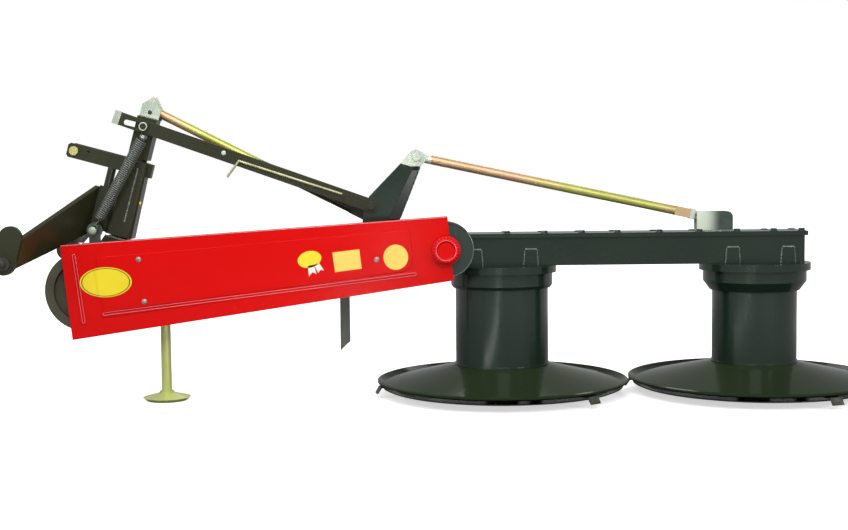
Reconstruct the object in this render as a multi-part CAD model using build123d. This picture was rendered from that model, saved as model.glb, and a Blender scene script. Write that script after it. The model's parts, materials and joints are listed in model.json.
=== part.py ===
from build123d import *
from math import acos, atan2, cos, degrees, hypot, radians, sin
import os

# Drum mower parked in its transport position. +Z is up and the ground is z = 0. +X runs along
# the cutter bar to its outer end, and +Y is the side of the drive shaft. The origin lies on the
# ground under the middle of the whole machine.

# Clearances and plate stock shared by many pieces
seat_gap = 0.3
pass_gap = 6.0
sheet_thickness = 3.0
plate_thickness = 12.0
overrun = 20.0

# Cutter bar and drums
drum_spacing = 920.0
inner_drum_reach = 205.0
disc_radius = 455.0
bar_drop = 69.0
bar_height = 107.0
bar_half_depth = 80.0
bar_start_reach = 87.0
bar_end_overhang = 165.0
bar_corner_radius = 18.0
rim_thickness = 8.0
rim_overhang = 6.0
lid_thickness = 8.0

# Pivot between the carrier and the cutter bar, on the axis of the driven pulley
pivot_height = 543.0
pivot_tube_radius = 36.0
pivot_eye_radius = 52.0
fork_inner_half_depth = 58.0

# Drive shaft and driving pulley
pulley_span = 1255.0
input_height = 412.0
input_shaft_radius = 22.0
input_stub_radius = 17.5
input_stub_length = 80.0
housing_radius = 60.0
housing_front_depth = 120.0
housing_rear_depth = 110.0

# Carrier beam
beam_half_height = 45.0
beam_half_depth = 32.0
fork_block_reach = 80.0
fork_block_length = 110.0

# Tower, measured along its own leaning axis from the drive shaft's axis
tower_lean = 15.3
tower_offset = 26.0
core_radius = 30.0
foot_bottom = 120.0
foot_top = 186.0
sleeve_bottom = 196.0
sleeve_top = 474.0
head_bottom = 484.0
head_top = 634.0
head_half_width = 36.0
foot_half_width = 45.0
foot_half_depth = 40.0

# Three point hitch, in the tower's leaning frame
link_pin_forward = 245.0
link_pin_rise = 45.0
link_spread = 392.0
link_pin_radius = 14.0
link_pin_length = 90.0
link_pin_collar_radius = 22.0
link_pin_collar_length = 6.0
lug_radius = 38.0
lug_thickness = 20.0
lug_rise = 92.0
top_pin_forward = 201.0
top_pin_rise = 452.0
top_pin_radius = 11.0

lean = radians(tower_lean)
left_reach = (
    pulley_span + link_pin_forward * cos(lean) - link_pin_rise * sin(lean) + lug_radius
)
right_reach = inner_drum_reach + drum_spacing + disc_radius
pivot_x = (left_reach - right_reach) / 2
input_x = pivot_x - pulley_span
bar_bottom_height = pivot_height - bar_drop
carrier_slope = degrees(atan2(pivot_height - input_height, pulley_span))


def block(x_low, x_high, y_low, y_high, z_low, z_high):
    middle = Pos((x_low + x_high) / 2, (y_low + y_high) / 2, (z_low + z_high) / 2)
    return middle * Box(x_high - x_low, y_high - y_low, z_high - z_low)


def plate(points, y_low, y_high):
    # A flat plate standing in the XZ plane, from its outline
    outline = Polyline(*[(x, y_low, z) for x, z in points], close=True)
    return extrude(make_face(outline), amount=y_high - y_low, dir=(0, 1, 0))


def cross_bar(x, z, radius, y_low, y_high):
    return Pos(x, (y_low + y_high) / 2, z) * Rot(90, 0, 0) * Cylinder(radius, y_high - y_low)


def cross_tube(x, z, outer_radius, inner_radius, y_low, y_high):
    tube = cross_bar(x, z, outer_radius, y_low, y_high)
    return tube - cross_bar(x, z, inner_radius, y_low - overrun, y_high + overrun)


def post(x, y, radius, z_low, z_high):
    return Pos(x, y, (z_low + z_high) / 2) * Cylinder(radius, z_high - z_low)


def rod(start, end, radius):
    run = Vector(*end) - Vector(*start)
    along = Plane(origin=start, z_dir=run)
    return along * Cylinder(radius, run.length, align=(Align.CENTER, Align.CENTER, Align.MIN))


def turned(profile, x, y):
    # A turned piece about a vertical axis, from its closed (radius, height) outline
    outline = Polyline(*[(r, 0, z) for r, z in profile], close=True)
    return Pos(x, y, 0) * revolve(make_face(outline), axis=Axis.Z)


def turned_across(profile, x, z):
    # A turned piece about a line along Y, from its closed (radius, y) outline
    outline = Polyline(*[(r, y, 0) for r, y in profile], close=True)
    return Pos(x, 0, z) * revolve(make_face(outline), axis=Axis.Y)


def slot_bar(start, end, radius, y_low, y_high):
    # A flat bar with round ends, between two points of the XZ plane
    run = hypot(end[0] - start[0], end[1] - start[1])
    side_x = (start[1] - end[1]) / run * radius
    side_z = (end[0] - start[0]) / run * radius
    sides = [
        (start[0] + side_x, start[1] + side_z),
        (end[0] + side_x, end[1] + side_z),
        (end[0] - side_x, end[1] - side_z),
        (start[0] - side_x, start[1] - side_z),
    ]
    ends = cross_bar(*start, radius, y_low, y_high) + cross_bar(*end, radius, y_low, y_high)
    return plate(sides, y_low, y_high) + ends


def from_shares(shares, x_low, width, z_low, height):
    return [(x_low + width * x, z_low + height * z) for x, z in shares]


def mirrored(piece):
    return mirror(piece, about=Plane.XZ)


def on_tower(piece):
    # From the tower's upright drawing to its place, leaning over the drive shaft's axis
    return Pos(input_x, 0, input_height) * Rot(0, tower_lean, 0) * piece


def tower_point(along_x, along_z):
    x = input_x + along_x * cos(lean) + along_z * sin(lean)
    return x, input_height - along_x * sin(lean) + along_z * cos(lean)


def on_carrier(piece):
    # From a level drawing that starts at the drive shaft's axis to the sloping carrier beam
    return Pos(input_x, 0, input_height) * Rot(0, -carrier_slope, 0) * piece


parts = {}

# Drums. Columns: name, reach from the pivot, shell radius, drop from the bar to the end of the
# collar's body, drop from the bar to the collar's lip, lip radius, angle of the first knife
drum_table = [
    ("inner", inner_drum_reach, 168.0, 70.0, 81.0, 177.0, -50.0),
    ("outer", inner_drum_reach + drum_spacing, 151.0, 66.0, 99.0, 160.0, -67.0),
]
collar_flange_radius = 198.0
collar_flange_thickness = 26.0
collar_body_radius = 184.0
collar_wall = 6.0
collar_lip_wall = 3.0
shell_wall = 6.0
shell_head_drop = 8.0
neck_radius = 60.0
base_ring_width = 4.0
base_ring_height = 6.0
disc_crown_height = 112.0
disc_thickness = 6.0
disc_shoulder_width = 32.0
disc_shoulder_drop = 8.0
disc_valley_radius = 430.0
disc_valley_height = 50.0
disc_lip_radius = 447.0
disc_lip_height = 61.0
disc_edge_drop = 3.0
knife_count = 3
knife_inner_radius = 372.0
knife_bend_radius = 448.0
knife_tip_radius = 462.0
knife_tip_height = 19.0
knife_half_width = 24.0
knife_thickness = 4.0
knife_height = 39.6
knife_bolt_radius = 12.0
knife_bolt_reach = 392.0
skid_flat_radius = 170.0
skid_slope_radius = 396.0
skid_slope_height = 23.0
skid_turn_radius = 424.0
skid_turn_height = 28.0
skid_radius = 438.0
skid_rim_height = 34.0
skid_thickness = 4.0
skid_rim_width = 7.0


def disc_underside(radius, shoulder_radius):
    share = (radius - shoulder_radius) / (disc_valley_radius - shoulder_radius)
    start = disc_crown_height - disc_shoulder_drop
    return start + share * (disc_valley_height - start) - disc_thickness


def make_drum(name, reach, shell_radius, body_drop, lip_drop, lip_radius, knife_angle):
    x = pivot_x + reach
    flange_bottom = bar_bottom_height - collar_flange_thickness
    body_end = bar_bottom_height - body_drop
    lip_height = bar_bottom_height - lip_drop
    lip_bore = lip_radius - collar_lip_wall
    body_bore = collar_body_radius - collar_wall
    collar = [
        (0, bar_bottom_height),
        (collar_flange_radius, bar_bottom_height),
        (collar_flange_radius, flange_bottom),
        (collar_body_radius, flange_bottom),
        (collar_body_radius, body_end),
        (lip_radius, lip_height),
        (lip_bore, lip_height),
        (body_bore, body_end),
        (body_bore, flange_bottom),
        (0, flange_bottom),
    ]
    parts["collar_" + name] = turned(collar, x, 0)

    shell_top = flange_bottom - shell_head_drop
    shell_bottom = disc_crown_height + base_ring_height
    bore = shell_radius - shell_wall
    shell = [
        (0, flange_bottom - seat_gap),
        (neck_radius, flange_bottom - seat_gap),
        (neck_radius, shell_top),
        (shell_radius, shell_top),
        (shell_radius, shell_bottom),
        (shell_radius + base_ring_width, shell_bottom),
        (shell_radius + base_ring_width, disc_crown_height),
        (bore, disc_crown_height),
        (bore, shell_top - shell_wall),
        (0, shell_top - shell_wall),
    ]
    parts["drum_" + name] = turned(shell, x, 0)

    ring_radius = shell_radius + base_ring_width
    shoulder_radius = shell_radius + disc_shoulder_width
    shoulder_height = disc_crown_height - disc_shoulder_drop
    disc = [
        (0, disc_crown_height),
        (ring_radius, disc_crown_height),
        (shoulder_radius, shoulder_height),
        (disc_valley_radius, disc_valley_height),
        (disc_lip_radius, disc_lip_height),
        (disc_radius, disc_lip_height - disc_edge_drop),
        (disc_radius, disc_lip_height - disc_edge_drop - disc_thickness),
        (disc_lip_radius, disc_lip_height - disc_thickness),
        (disc_valley_radius, disc_valley_height - disc_thickness),
        (shoulder_radius, shoulder_height - disc_thickness),
        (ring_radius, disc_crown_height - disc_thickness),
        (0, disc_crown_height - disc_thickness),
    ]
    parts["disc_" + name] = turned(disc, x, 0)

    knife_top = knife_height + knife_thickness
    bolt_top = disc_underside(knife_bolt_reach + knife_bolt_radius, shoulder_radius) - seat_gap
    knife = plate(
        [
            (knife_inner_radius, knife_height),
            (knife_bend_radius, knife_height),
            (knife_tip_radius, knife_tip_height),
            (knife_tip_radius + knife_thickness, knife_tip_height),
            (knife_bend_radius + knife_thickness, knife_top),
            (knife_inner_radius, knife_top),
        ],
        -knife_half_width, knife_half_width,
    )
    knife = knife + post(knife_bolt_reach, 0, knife_bolt_radius, knife_height, bolt_top)
    knives = [
        Pos(x, 0, 0) * Rot(0, 0, knife_angle + 360 * turn / knife_count) * knife
        for turn in range(knife_count)
    ]
    parts["knives_" + name] = Compound(children=knives)

    boss_top = disc_crown_height - disc_thickness - seat_gap
    skid = [
        (0, 0),
        (skid_flat_radius, 0),
        (skid_slope_radius, skid_slope_height),
        (skid_turn_radius, skid_turn_height),
        (skid_radius, skid_rim_height),
        (skid_radius - skid_rim_width, skid_rim_height),
        (skid_turn_radius - skid_thickness, skid_turn_height + skid_thickness),
        (skid_slope_radius, skid_slope_height + skid_thickness),
        (skid_flat_radius, skid_thickness),
        (neck_radius, skid_thickness),
        (neck_radius, boss_top),
        (0, boss_top),
    ]
    parts["skid_" + name] = turned(skid, x, 0)


for drum_row in drum_table:
    make_drum(*drum_row)

# Cutter bar case, with its hub round the pivot tube, a rim under the lid and welded tabs
bar_left = pivot_x + bar_start_reach
bar_right = pivot_x + inner_drum_reach + drum_spacing + bar_end_overhang
bar_top = bar_bottom_height + bar_height
hub_half_depth = 52.0
neck_half_depth = 50.0
neck_rise = 22.0
tab_half_width = 24.0
tab_taper = 4.0
tab_height = 58.0
tab_thickness = 8.0
tab_offsets = (-97.0, 101.0)


def make_bar():
    case = block(
        bar_left, bar_right, -bar_half_depth, bar_half_depth, bar_bottom_height, bar_top,
    )
    case = fillet(case.edges().filter_by(Axis.Z).group_by(Axis.X)[-1], bar_corner_radius)
    rim_depth = bar_half_depth + rim_overhang
    rim = block(
        bar_left - rim_overhang, bar_right + rim_overhang, -rim_depth, rim_depth,
        bar_top - rim_thickness, bar_top,
    )
    neck = block(
        pivot_x, bar_left, -neck_half_depth, neck_half_depth,
        bar_bottom_height + neck_rise, bar_top - rim_thickness,
    )
    hub = cross_bar(pivot_x, pivot_height, pivot_eye_radius, -hub_half_depth, hub_half_depth)
    bore = cross_bar(
        pivot_x, pivot_height, pivot_tube_radius + seat_gap,
        -hub_half_depth - overrun, hub_half_depth + overrun,
    )
    case = case + rim + neck + hub - bore
    for _, reach, *_ in drum_table:
        for offset in tab_offsets:
            middle = pivot_x + reach + offset
            tab = [
                (middle - tab_half_width, bar_bottom_height),
                (middle + tab_half_width, bar_bottom_height),
                (middle + tab_half_width - tab_taper, bar_bottom_height + tab_height),
                (middle - tab_half_width + tab_taper, bar_bottom_height + tab_height),
            ]
            case = case + plate(tab, -bar_half_depth - tab_thickness, -bar_half_depth)
    lid = block(
        bar_left - rim_overhang, bar_right + rim_overhang, -rim_depth, rim_depth,
        bar_top, bar_top + lid_thickness,
    )
    return case, lid


parts["bar_case"], parts["bar_lid"] = make_bar()
lid_top = bar_top + lid_thickness

# Pull rod from the upright to the slotted lug on the lid
rod_pivot_reach = 99.0
rod_pivot_rise = 324.0
rod_pin_reach = 936.0
rod_pin_rise = 53.0
pull_rod_radius = 16.5
pivot_bolt_radius = 10.0
rod_eye_radius = 24.0
rod_eye_half_depth = 30.0
rod_pin_radius = 6.0
socket_start = 104.0
socket_end = 49.0
socket_half_height = 17.0
socket_half_depth = 15.0
flange_end = 31.0
flange_half_height = 19.0
flange_half_depth = 16.0
tongue_radius = 15.0
tongue_half_depth = 5.5
lug_inner_half_depth = 22.0
lug_plate_thickness = 6.0
lug_plate_left = 26.0
lug_plate_right = 104.0
lug_plate_top = 18.0
lug_plate_corner = 21.0
lug_wall = 8.0
lug_slot_left = 17.0
lug_slot_right = 66.0
lug_slot_room = 2.5
lug_slot_drop_share = 0.25
rod_pin_overhang = 4.0
rod_start = (pivot_x - rod_pivot_reach, pivot_height + rod_pivot_rise)
rod_end = (pivot_x + rod_pin_reach, lid_top + rod_pin_rise)
lug_outer_half_depth = lug_inner_half_depth + lug_plate_thickness


def make_rod_lug():
    # Two plates joined by a wall at their outer end; the rod's pin slides in the rear plate's slot
    left = rod_end[0] - lug_plate_left
    right = rod_end[0] + lug_plate_right
    top = rod_end[1] + lug_plate_top
    outline = plate(
        [(left, lid_top), (left, top), (right, top), (right, lid_top)],
        -lug_outer_half_depth, lug_outer_half_depth,
    )
    corner = outline.edges().filter_by(Axis.Y).group_by(Axis.Z)[-1].sort_by(Axis.X)[-1]
    outline = fillet(corner, lug_plate_corner)
    room = block(
        left - overrun, right - lug_wall, -lug_inner_half_depth, lug_inner_half_depth,
        lid_top, top + overrun,
    )
    slot_start = (rod_end[0] - lug_slot_left, rod_end[1] + lug_slot_left * lug_slot_drop_share)
    slot_end = (rod_end[0] + lug_slot_right, rod_end[1] - lug_slot_right * lug_slot_drop_share)
    slot = slot_bar(
        slot_start, slot_end, rod_pin_radius + lug_slot_room,
        lug_inner_half_depth / 2, lug_outer_half_depth + overrun,
    )
    return outline - room - slot


def make_pull_rod():
    # Drawn level with the pin at the drawing's origin, then turned to the rod's slope
    run_x = rod_end[0] - rod_start[0]
    run_z = rod_end[1] - rod_start[1]
    run = hypot(run_x, run_z)
    tube = rod((-run, 0, 0), (-socket_start, 0, 0), pull_rod_radius)
    eye = cross_bar(-run, 0, rod_eye_radius, -rod_eye_half_depth, rod_eye_half_depth)
    bore = cross_bar(
        -run, 0, pivot_bolt_radius + seat_gap,
        -rod_eye_half_depth - overrun, rod_eye_half_depth + overrun,
    )
    socket = block(
        -socket_start, -socket_end, -socket_half_depth, socket_half_depth,
        -socket_half_height, socket_half_height,
    )
    flange = block(
        -socket_end, -flange_end, -flange_half_depth, flange_half_depth,
        -flange_half_height, flange_half_height,
    )
    tongue = slot_bar((-flange_end, 0), (0, 0), tongue_radius, -tongue_half_depth, tongue_half_depth)
    flange = flange + (tongue - block(
        -socket_start, -flange_end, -flange_half_depth, flange_half_depth,
        -flange_half_height, flange_half_height,
    ))
    pin = cross_bar(
        0, 0, rod_pin_radius, -tongue_half_depth, lug_outer_half_depth + rod_pin_overhang,
    )
    place = Pos(rod_end[0], 0, rod_end[1]) * Rot(0, -degrees(atan2(run_z, run_x)), 0)
    return place * (tube + eye + socket - bore), place * (flange + pin)


parts["rod_lug"] = make_rod_lug()
parts["pull_rod"], parts["rod_clevis"] = make_pull_rod()

# Carrier: drive shaft housing, sloping beam, pivot fork and the tube that the bar swings on
fork_plate_thickness = 14.0
pivot_tube_front = 158.0
pivot_tube_rear = 84.0
guard_radius = 97.0
guard_plate_thickness = 10.0
guard_front_depth = 243.0
guard_wall = 3.0
guard_gate_reach = 30.0
guard_rim_width = 5.0
guard_rim_proud = 3.0
driven_shaft_radius = 20.0
fork_outer_half_depth = fork_inner_half_depth + fork_plate_thickness
beam_end = pulley_span - fork_block_reach - fork_block_length


def make_carrier():
    housing = cross_tube(
        input_x, input_height, housing_radius, input_shaft_radius + seat_gap,
        -housing_front_depth, housing_rear_depth,
    )
    beam = on_carrier(block(
        0, beam_end, -beam_half_depth, beam_half_depth, -beam_half_height, beam_half_height,
    ))
    beam = beam - cross_bar(
        input_x, input_height, housing_radius, -housing_front_depth, housing_rear_depth,
    )
    fork_block = on_carrier(block(
        beam_end, beam_end + fork_block_length,
        -fork_outer_half_depth, fork_outer_half_depth, -beam_half_height, beam_half_height,
    ))
    arm = slot_bar(
        (pivot_x - fork_block_reach, pivot_height - fork_block_reach * sin(radians(carrier_slope))),
        (pivot_x, pivot_height), beam_half_height, fork_inner_half_depth, fork_outer_half_depth,
    )
    eye = cross_bar(
        pivot_x, pivot_height, pivot_eye_radius, fork_inner_half_depth, fork_outer_half_depth,
    )
    bore = cross_bar(
        pivot_x, pivot_height, pivot_tube_radius,
        -fork_outer_half_depth - overrun, fork_outer_half_depth + overrun,
    )
    fork = fork_block + arm + eye + mirrored(arm) + mirrored(eye) - bore
    hub_room = cross_bar(
        pivot_x, pivot_height, pivot_eye_radius + pass_gap,
        -fork_inner_half_depth, fork_inner_half_depth,
    )
    fork = fork - hub_room
    tube = cross_tube(
        pivot_x, pivot_height, pivot_tube_radius, driven_shaft_radius + seat_gap,
        -pivot_tube_front, pivot_tube_rear,
    )
    return housing, beam, fork, tube


def make_guard():
    # A round cup over the driven pulley, open on the side where the belts come in
    back = cross_tube(
        pivot_x, pivot_height, guard_radius, driven_shaft_radius + seat_gap,
        -pivot_tube_front - guard_plate_thickness, -pivot_tube_front,
    )
    wall = cross_tube(
        pivot_x, pivot_height, guard_radius, guard_radius - guard_wall,
        -guard_front_depth, -pivot_tube_front,
    )
    front = cross_bar(
        pivot_x, pivot_height, guard_radius, -guard_front_depth, guard_wall - guard_front_depth,
    )
    rim = cross_tube(
        pivot_x, pivot_height, guard_radius, guard_radius - guard_rim_width,
        -guard_front_depth - guard_rim_proud, -guard_front_depth,
    )
    gate = block(
        pivot_x - guard_radius - overrun, pivot_x - guard_gate_reach,
        -guard_front_depth - overrun, -pivot_tube_front - guard_plate_thickness,
        pivot_height - guard_radius, pivot_height + guard_radius,
    )
    return wall + front + rim - gate + back


housing, beam, fork, pivot_tube = make_carrier()
parts["input_housing"] = housing
parts["carrier_beam"] = beam
parts["pivot_fork"] = fork
parts["pivot_tube"] = pivot_tube
parts["pulley_guard"] = make_guard()

# Belt drive
drive_pulley_radius = 137.0
driven_pulley_radius = 74.0
pulley_front_depth = 236.0
pulley_width = 60.0
pulley_rim = 30.0
pulley_recess = 20.0
pulley_hub_radius = 46.0
belt_count = 3
belt_width = 12.4
groove_width = 13.0
groove_depth = 11.0
groove_pitch = 18.0
belt_proud = 2.0
shaft_front_overhang = 6.0
pulley_rear_depth = pulley_front_depth - pulley_width
pulley_middle = (pulley_front_depth + pulley_rear_depth) / 2
groove_places = [
    groove_pitch * (index - (belt_count - 1) / 2) - pulley_middle for index in range(belt_count)
]


def make_pulley(x, z, radius, shaft_radius, shaft_rear):
    wheel = cross_bar(x, z, radius, -pulley_front_depth, -pulley_rear_depth)
    recess = cross_tube(
        x, z, radius - pulley_rim, pulley_hub_radius,
        -pulley_front_depth, pulley_recess - pulley_front_depth,
    )
    if radius - pulley_rim > pulley_hub_radius:
        wheel = wheel - recess
    for middle in groove_places:
        wheel = wheel - cross_tube(
            x, z, radius + overrun, radius - groove_depth,
            middle - groove_width / 2, middle + groove_width / 2,
        )
    shaft = cross_bar(x, z, shaft_radius, -pulley_rear_depth, shaft_rear)
    return wheel, shaft


def belt_band(grow, y_low, y_high):
    # The filled loop round both pulleys, grown outwards from their rims
    angle = atan2(pivot_height - input_height, pulley_span)
    span = hypot(pivot_height - input_height, pulley_span)
    turn = acos((drive_pulley_radius - driven_pulley_radius) / span)
    big = drive_pulley_radius + grow
    small = driven_pulley_radius + grow
    corners = []
    for side in (angle + turn, angle - turn):
        near = (input_x + big * cos(side), input_height + big * sin(side))
        far = (pivot_x + small * cos(side), pivot_height + small * sin(side))
        corners.append((near, far))
    upper, lower = corners
    band = plate([upper[0], upper[1], lower[1], lower[0]], y_low, y_high)
    band = band + cross_bar(input_x, input_height, big, y_low, y_high)
    return band + cross_bar(pivot_x, pivot_height, small, y_low, y_high)


def make_belts():
    belts = []
    for middle in groove_places:
        y_low = middle - belt_width / 2
        y_high = middle + belt_width / 2
        inside = belt_band(seat_gap - groove_depth, y_low - overrun, y_high + overrun)
        belts.append(belt_band(belt_proud, y_low, y_high) - inside)
    return Compound(children=belts)


pulley, shaft = make_pulley(
    input_x, input_height, drive_pulley_radius, input_shaft_radius, housing_rear_depth,
)
stub = cross_bar(
    input_x, input_height, input_stub_radius,
    housing_rear_depth, housing_rear_depth + input_stub_length,
)
parts["drive_pulley"] = pulley
parts["input_shaft"] = shaft + stub
driven_pulley, driven_shaft = make_pulley(
    pivot_x, pivot_height, driven_pulley_radius, driven_shaft_radius, hub_half_depth,
)
parts["driven_pulley"] = driven_pulley + driven_shaft
parts["drive_belts"] = make_belts()

# Belt cover: a folded sheet in front of both pulleys, on three spacers
cover_depth = 252.0
cover_flange_depth = 82.0
cover_left_top_reach = 76.0
cover_left_bottom_reach = 42.0
cover_left_rise = 160.0
cover_left_drop = 168.0
cover_right_top_reach = 6.0
cover_right_bottom_reach = 26.0
cover_right_rise = 115.0
cover_right_drop = 106.0
panel_proud = 4.0
panel_left_share = 0.09
panel_right_share = 0.9
panel_top_share = 0.16
panel_bottom_share = 0.75
panel_corner_radius = 45.0
rib_half_width = 4.0
rib_proud = 3.0
boss_radius = 50.0
boss_front_depth = 285.0
boss_face_radius = 32.0
boss_chamfer = 9.0
screw_post_radius = 9.0
cover_front = -cover_depth
cover_back = sheet_thickness - cover_depth


def cover_point(x_share, z_share):
    # A place on the cover: shares along its length and down its height
    top_left = (input_x - cover_left_top_reach, input_height + cover_left_rise)
    top_right = (pivot_x + cover_right_top_reach, pivot_height + cover_right_rise)
    low_left = (input_x - cover_left_bottom_reach, input_height - cover_left_drop)
    low_right = (pivot_x + cover_right_bottom_reach, pivot_height - cover_right_drop)
    top = [a + (b - a) * x_share for a, b in zip(top_left, top_right)]
    low = [a + (b - a) * x_share for a, b in zip(low_left, low_right)]
    return tuple(a + (b - a) * z_share for a, b in zip(top, low))


def cover_face(shares, y_place):
    points = [cover_point(x_share, z_share) for x_share, z_share in shares]
    return make_face(Polyline(*[(x, y_place, z) for x, z in points], close=True))


# Ribs on the cover's front. Columns: shares along and down at the start, the same at the end
rib_table = [
    (0.085, 0.795, 0.9, 0.795),
    (0.03, 0.13, 0.03, 0.84),
]
whole_shares = [(0, 0), (1, 0), (1, 1), (0, 1)]
cover_opening_share = 5 / 6
panel_shares = [
    (panel_left_share, panel_top_share),
    (panel_right_share, panel_top_share),
    (panel_right_share, panel_bottom_share),
    (panel_left_share, panel_bottom_share),
]


def make_cover():
    outer = cover_face(whole_shares, cover_front)
    sheet = extrude(outer, amount=sheet_thickness, dir=(0, 1, 0))
    wall = extrude(outer, amount=cover_flange_depth, dir=(0, 1, 0))
    inner = offset(outer, amount=-sheet_thickness)
    hollow = Pos(0, sheet_thickness, 0) * extrude(
        inner, amount=cover_flange_depth + overrun, dir=(0, 1, 0),
    )
    top_left = cover_point(0, 0)
    low_right = cover_point(1, 1)
    right_opening = block(
        pivot_x, pivot_x + guard_radius,
        cover_back, cover_flange_depth - cover_depth + overrun,
        low_right[1] + sheet_thickness, pivot_height + cover_right_rise - 2 * sheet_thickness,
    )
    left_opening = block(
        top_left[0] - overrun, input_x,
        cover_back, cover_flange_depth - cover_depth + overrun,
        input_height - cover_left_drop * cover_opening_share,
        input_height + cover_left_rise * cover_opening_share,
    )
    shell = wall - hollow - right_opening - left_opening
    panel_face = cover_face(panel_shares, cover_front)
    panel = extrude(panel_face, amount=panel_proud, dir=(0, -1, 0))
    corners = panel.edges().filter_by(Axis.Y).group_by(Axis.X)[-1]
    panel = fillet(corners, panel_corner_radius)
    cover = sheet + shell + panel
    for start_along, start_down, end_along, end_down in rib_table:
        cover = cover + slot_bar(
            cover_point(start_along, start_down), cover_point(end_along, end_down),
            rib_half_width, cover_front - rib_proud, cover_front,
        )
    return cover - cross_bar(
        pivot_x, pivot_height, boss_radius + seat_gap, -boss_front_depth, cover_back + overrun,
    )


def make_boss():
    profile = [
        (0, -guard_front_depth),
        (boss_radius, -guard_front_depth),
        (boss_radius, boss_chamfer - boss_front_depth),
        (boss_radius - boss_chamfer, -boss_front_depth),
        (boss_face_radius, -boss_front_depth),
        (boss_face_radius - boss_chamfer / 2, boss_chamfer / 2 - boss_front_depth),
        (0, boss_chamfer / 2 - boss_front_depth),
    ]
    return turned_across(profile, pivot_x, pivot_height)


parts["belt_cover"] = make_cover()
parts["cover_boss"] = make_boss()

# Brackets behind the cover, beside the parking stand
stand_shaft_reach = 245.0
left_bracket_gap = 45.0
left_bracket_half_width = 16.0
left_bracket_half_height = 90.0
left_screw_rise = 103.0
left_screw_drop = 42.0
left_screw_shift = 10.0
right_screw_reach = 240.0
right_screw_drop = 29.0
left_bracket_reach = stand_shaft_reach - left_bracket_gap


def make_brackets():
    front = -beam_half_depth
    middle_x = input_x + left_bracket_reach
    middle_z = input_height + left_bracket_reach * sin(radians(carrier_slope))
    left_plate = block(
        middle_x - left_bracket_half_width, middle_x + left_bracket_half_width,
        front - plate_thickness / 2, front,
        middle_z - left_bracket_half_height, middle_z + left_bracket_half_height,
    )
    pieces = left_plate
    for shift, rise in ((-left_screw_shift, left_screw_rise), (left_screw_shift, -left_screw_drop)):
        pieces = pieces + cross_bar(
            middle_x + shift, input_height + rise, screw_post_radius,
            cover_back, front - plate_thickness / 2,
        )
    single = cross_bar(
        pivot_x - right_screw_reach, pivot_height - right_screw_drop, screw_post_radius,
        cover_back, front,
    )
    return Compound(children=[pieces, single])


parts["cover_brackets"] = make_brackets()

# Upright on the carrier beam: two side plates and a web, with the pull rod's bolt at its top
upright_left_reach = 296.0
upright_width = 241.0
upright_base_rise = 9.0
upright_height = 341.0
upright_half_depth = 52.0
upright_plate = 8.0
upright_crest_shares = [
    (1.0, 0.922),
    (0.81, 1.0),
    (0.745, 0.985),
    (0.61, 0.88),
    (0.104, 0.513),
    (0.014, 0.375),
    (0.0, 0.25),
]
upright_foot_shares = [(0.0, 0.0), (0.37, 0.04)]
front_edge_shares = [(0.387, 0.27), (0.79, 0.84)]
rear_edge_shares = [(0.56, 0.27), (0.88, 0.84)]
web_top_share = 0.9
bolt_head_radius = 15.0
bolt_head_length = 9.0
strut_end_reach = 264.0
strut_end_rise = 151.0
lock_anchor_rise = 101.0
strut_thickness = 10.0
strut_half_width = 23.5
strut_bolt_radius = 8.0
strut_bolt_rise = 600.0
strut_slot_travel = 64.0
strut_slot_room = 1.5
strut_tail = 48.0
upright_inner = upright_half_depth - upright_plate
upright_base_height = pivot_height + upright_base_rise
strut_start = (pivot_x - strut_end_reach, pivot_height + strut_end_rise)
lock_anchor = (pivot_x - strut_end_reach, pivot_height + lock_anchor_rise)
slide_bolt = tower_point(tower_offset, strut_bolt_rise)
float_travel = strut_slot_travel / hypot(slide_bolt[0] - input_x, slide_bolt[1] - input_height)


def upright_points(shares):
    return from_shares(
        shares, pivot_x - upright_left_reach, upright_width, upright_base_height, upright_height,
    )


def web_face(edge_shares, y_place):
    low, high = upright_points(edge_shares)
    top = [a + (b - a) * web_top_share for a, b in zip(low, high)]
    corners = [low, top, (top[0] - upright_plate, top[1]), (low[0] - upright_plate, low[1])]
    return make_face(Polyline(*[(x, y_place, z) for x, z in corners], close=True))


def make_upright():
    front = plate(
        upright_points(upright_foot_shares + front_edge_shares + upright_crest_shares),
        -upright_half_depth, -upright_inner,
    )
    rear = plate(
        upright_points(upright_foot_shares + rear_edge_shares + upright_crest_shares),
        upright_inner, upright_half_depth,
    )
    web = loft(
        [web_face(front_edge_shares, -upright_inner), web_face(rear_edge_shares, upright_inner)],
        ruled=True,
    )
    beam_room = on_carrier(block(
        0, beam_end + fork_block_length, -upright_half_depth, upright_half_depth,
        -beam_half_height, beam_half_height,
    ))
    foot = block(
        pivot_x - upright_left_reach, pivot_x - upright_left_reach + upright_width / 2,
        -upright_half_depth, upright_half_depth,
        upright_base_height - upright_plate, upright_base_height + upright_plate,
    )
    body = front + rear + web + foot - beam_room
    bolt = cross_bar(
        *rod_start, pivot_bolt_radius,
        -upright_half_depth - bolt_head_length, upright_half_depth + bolt_head_length,
    )
    head = cross_bar(
        *rod_start, bolt_head_radius, -upright_half_depth - bolt_head_length, -upright_half_depth,
    )
    pin = bolt + head + mirrored(head)
    return body - bolt, pin


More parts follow.
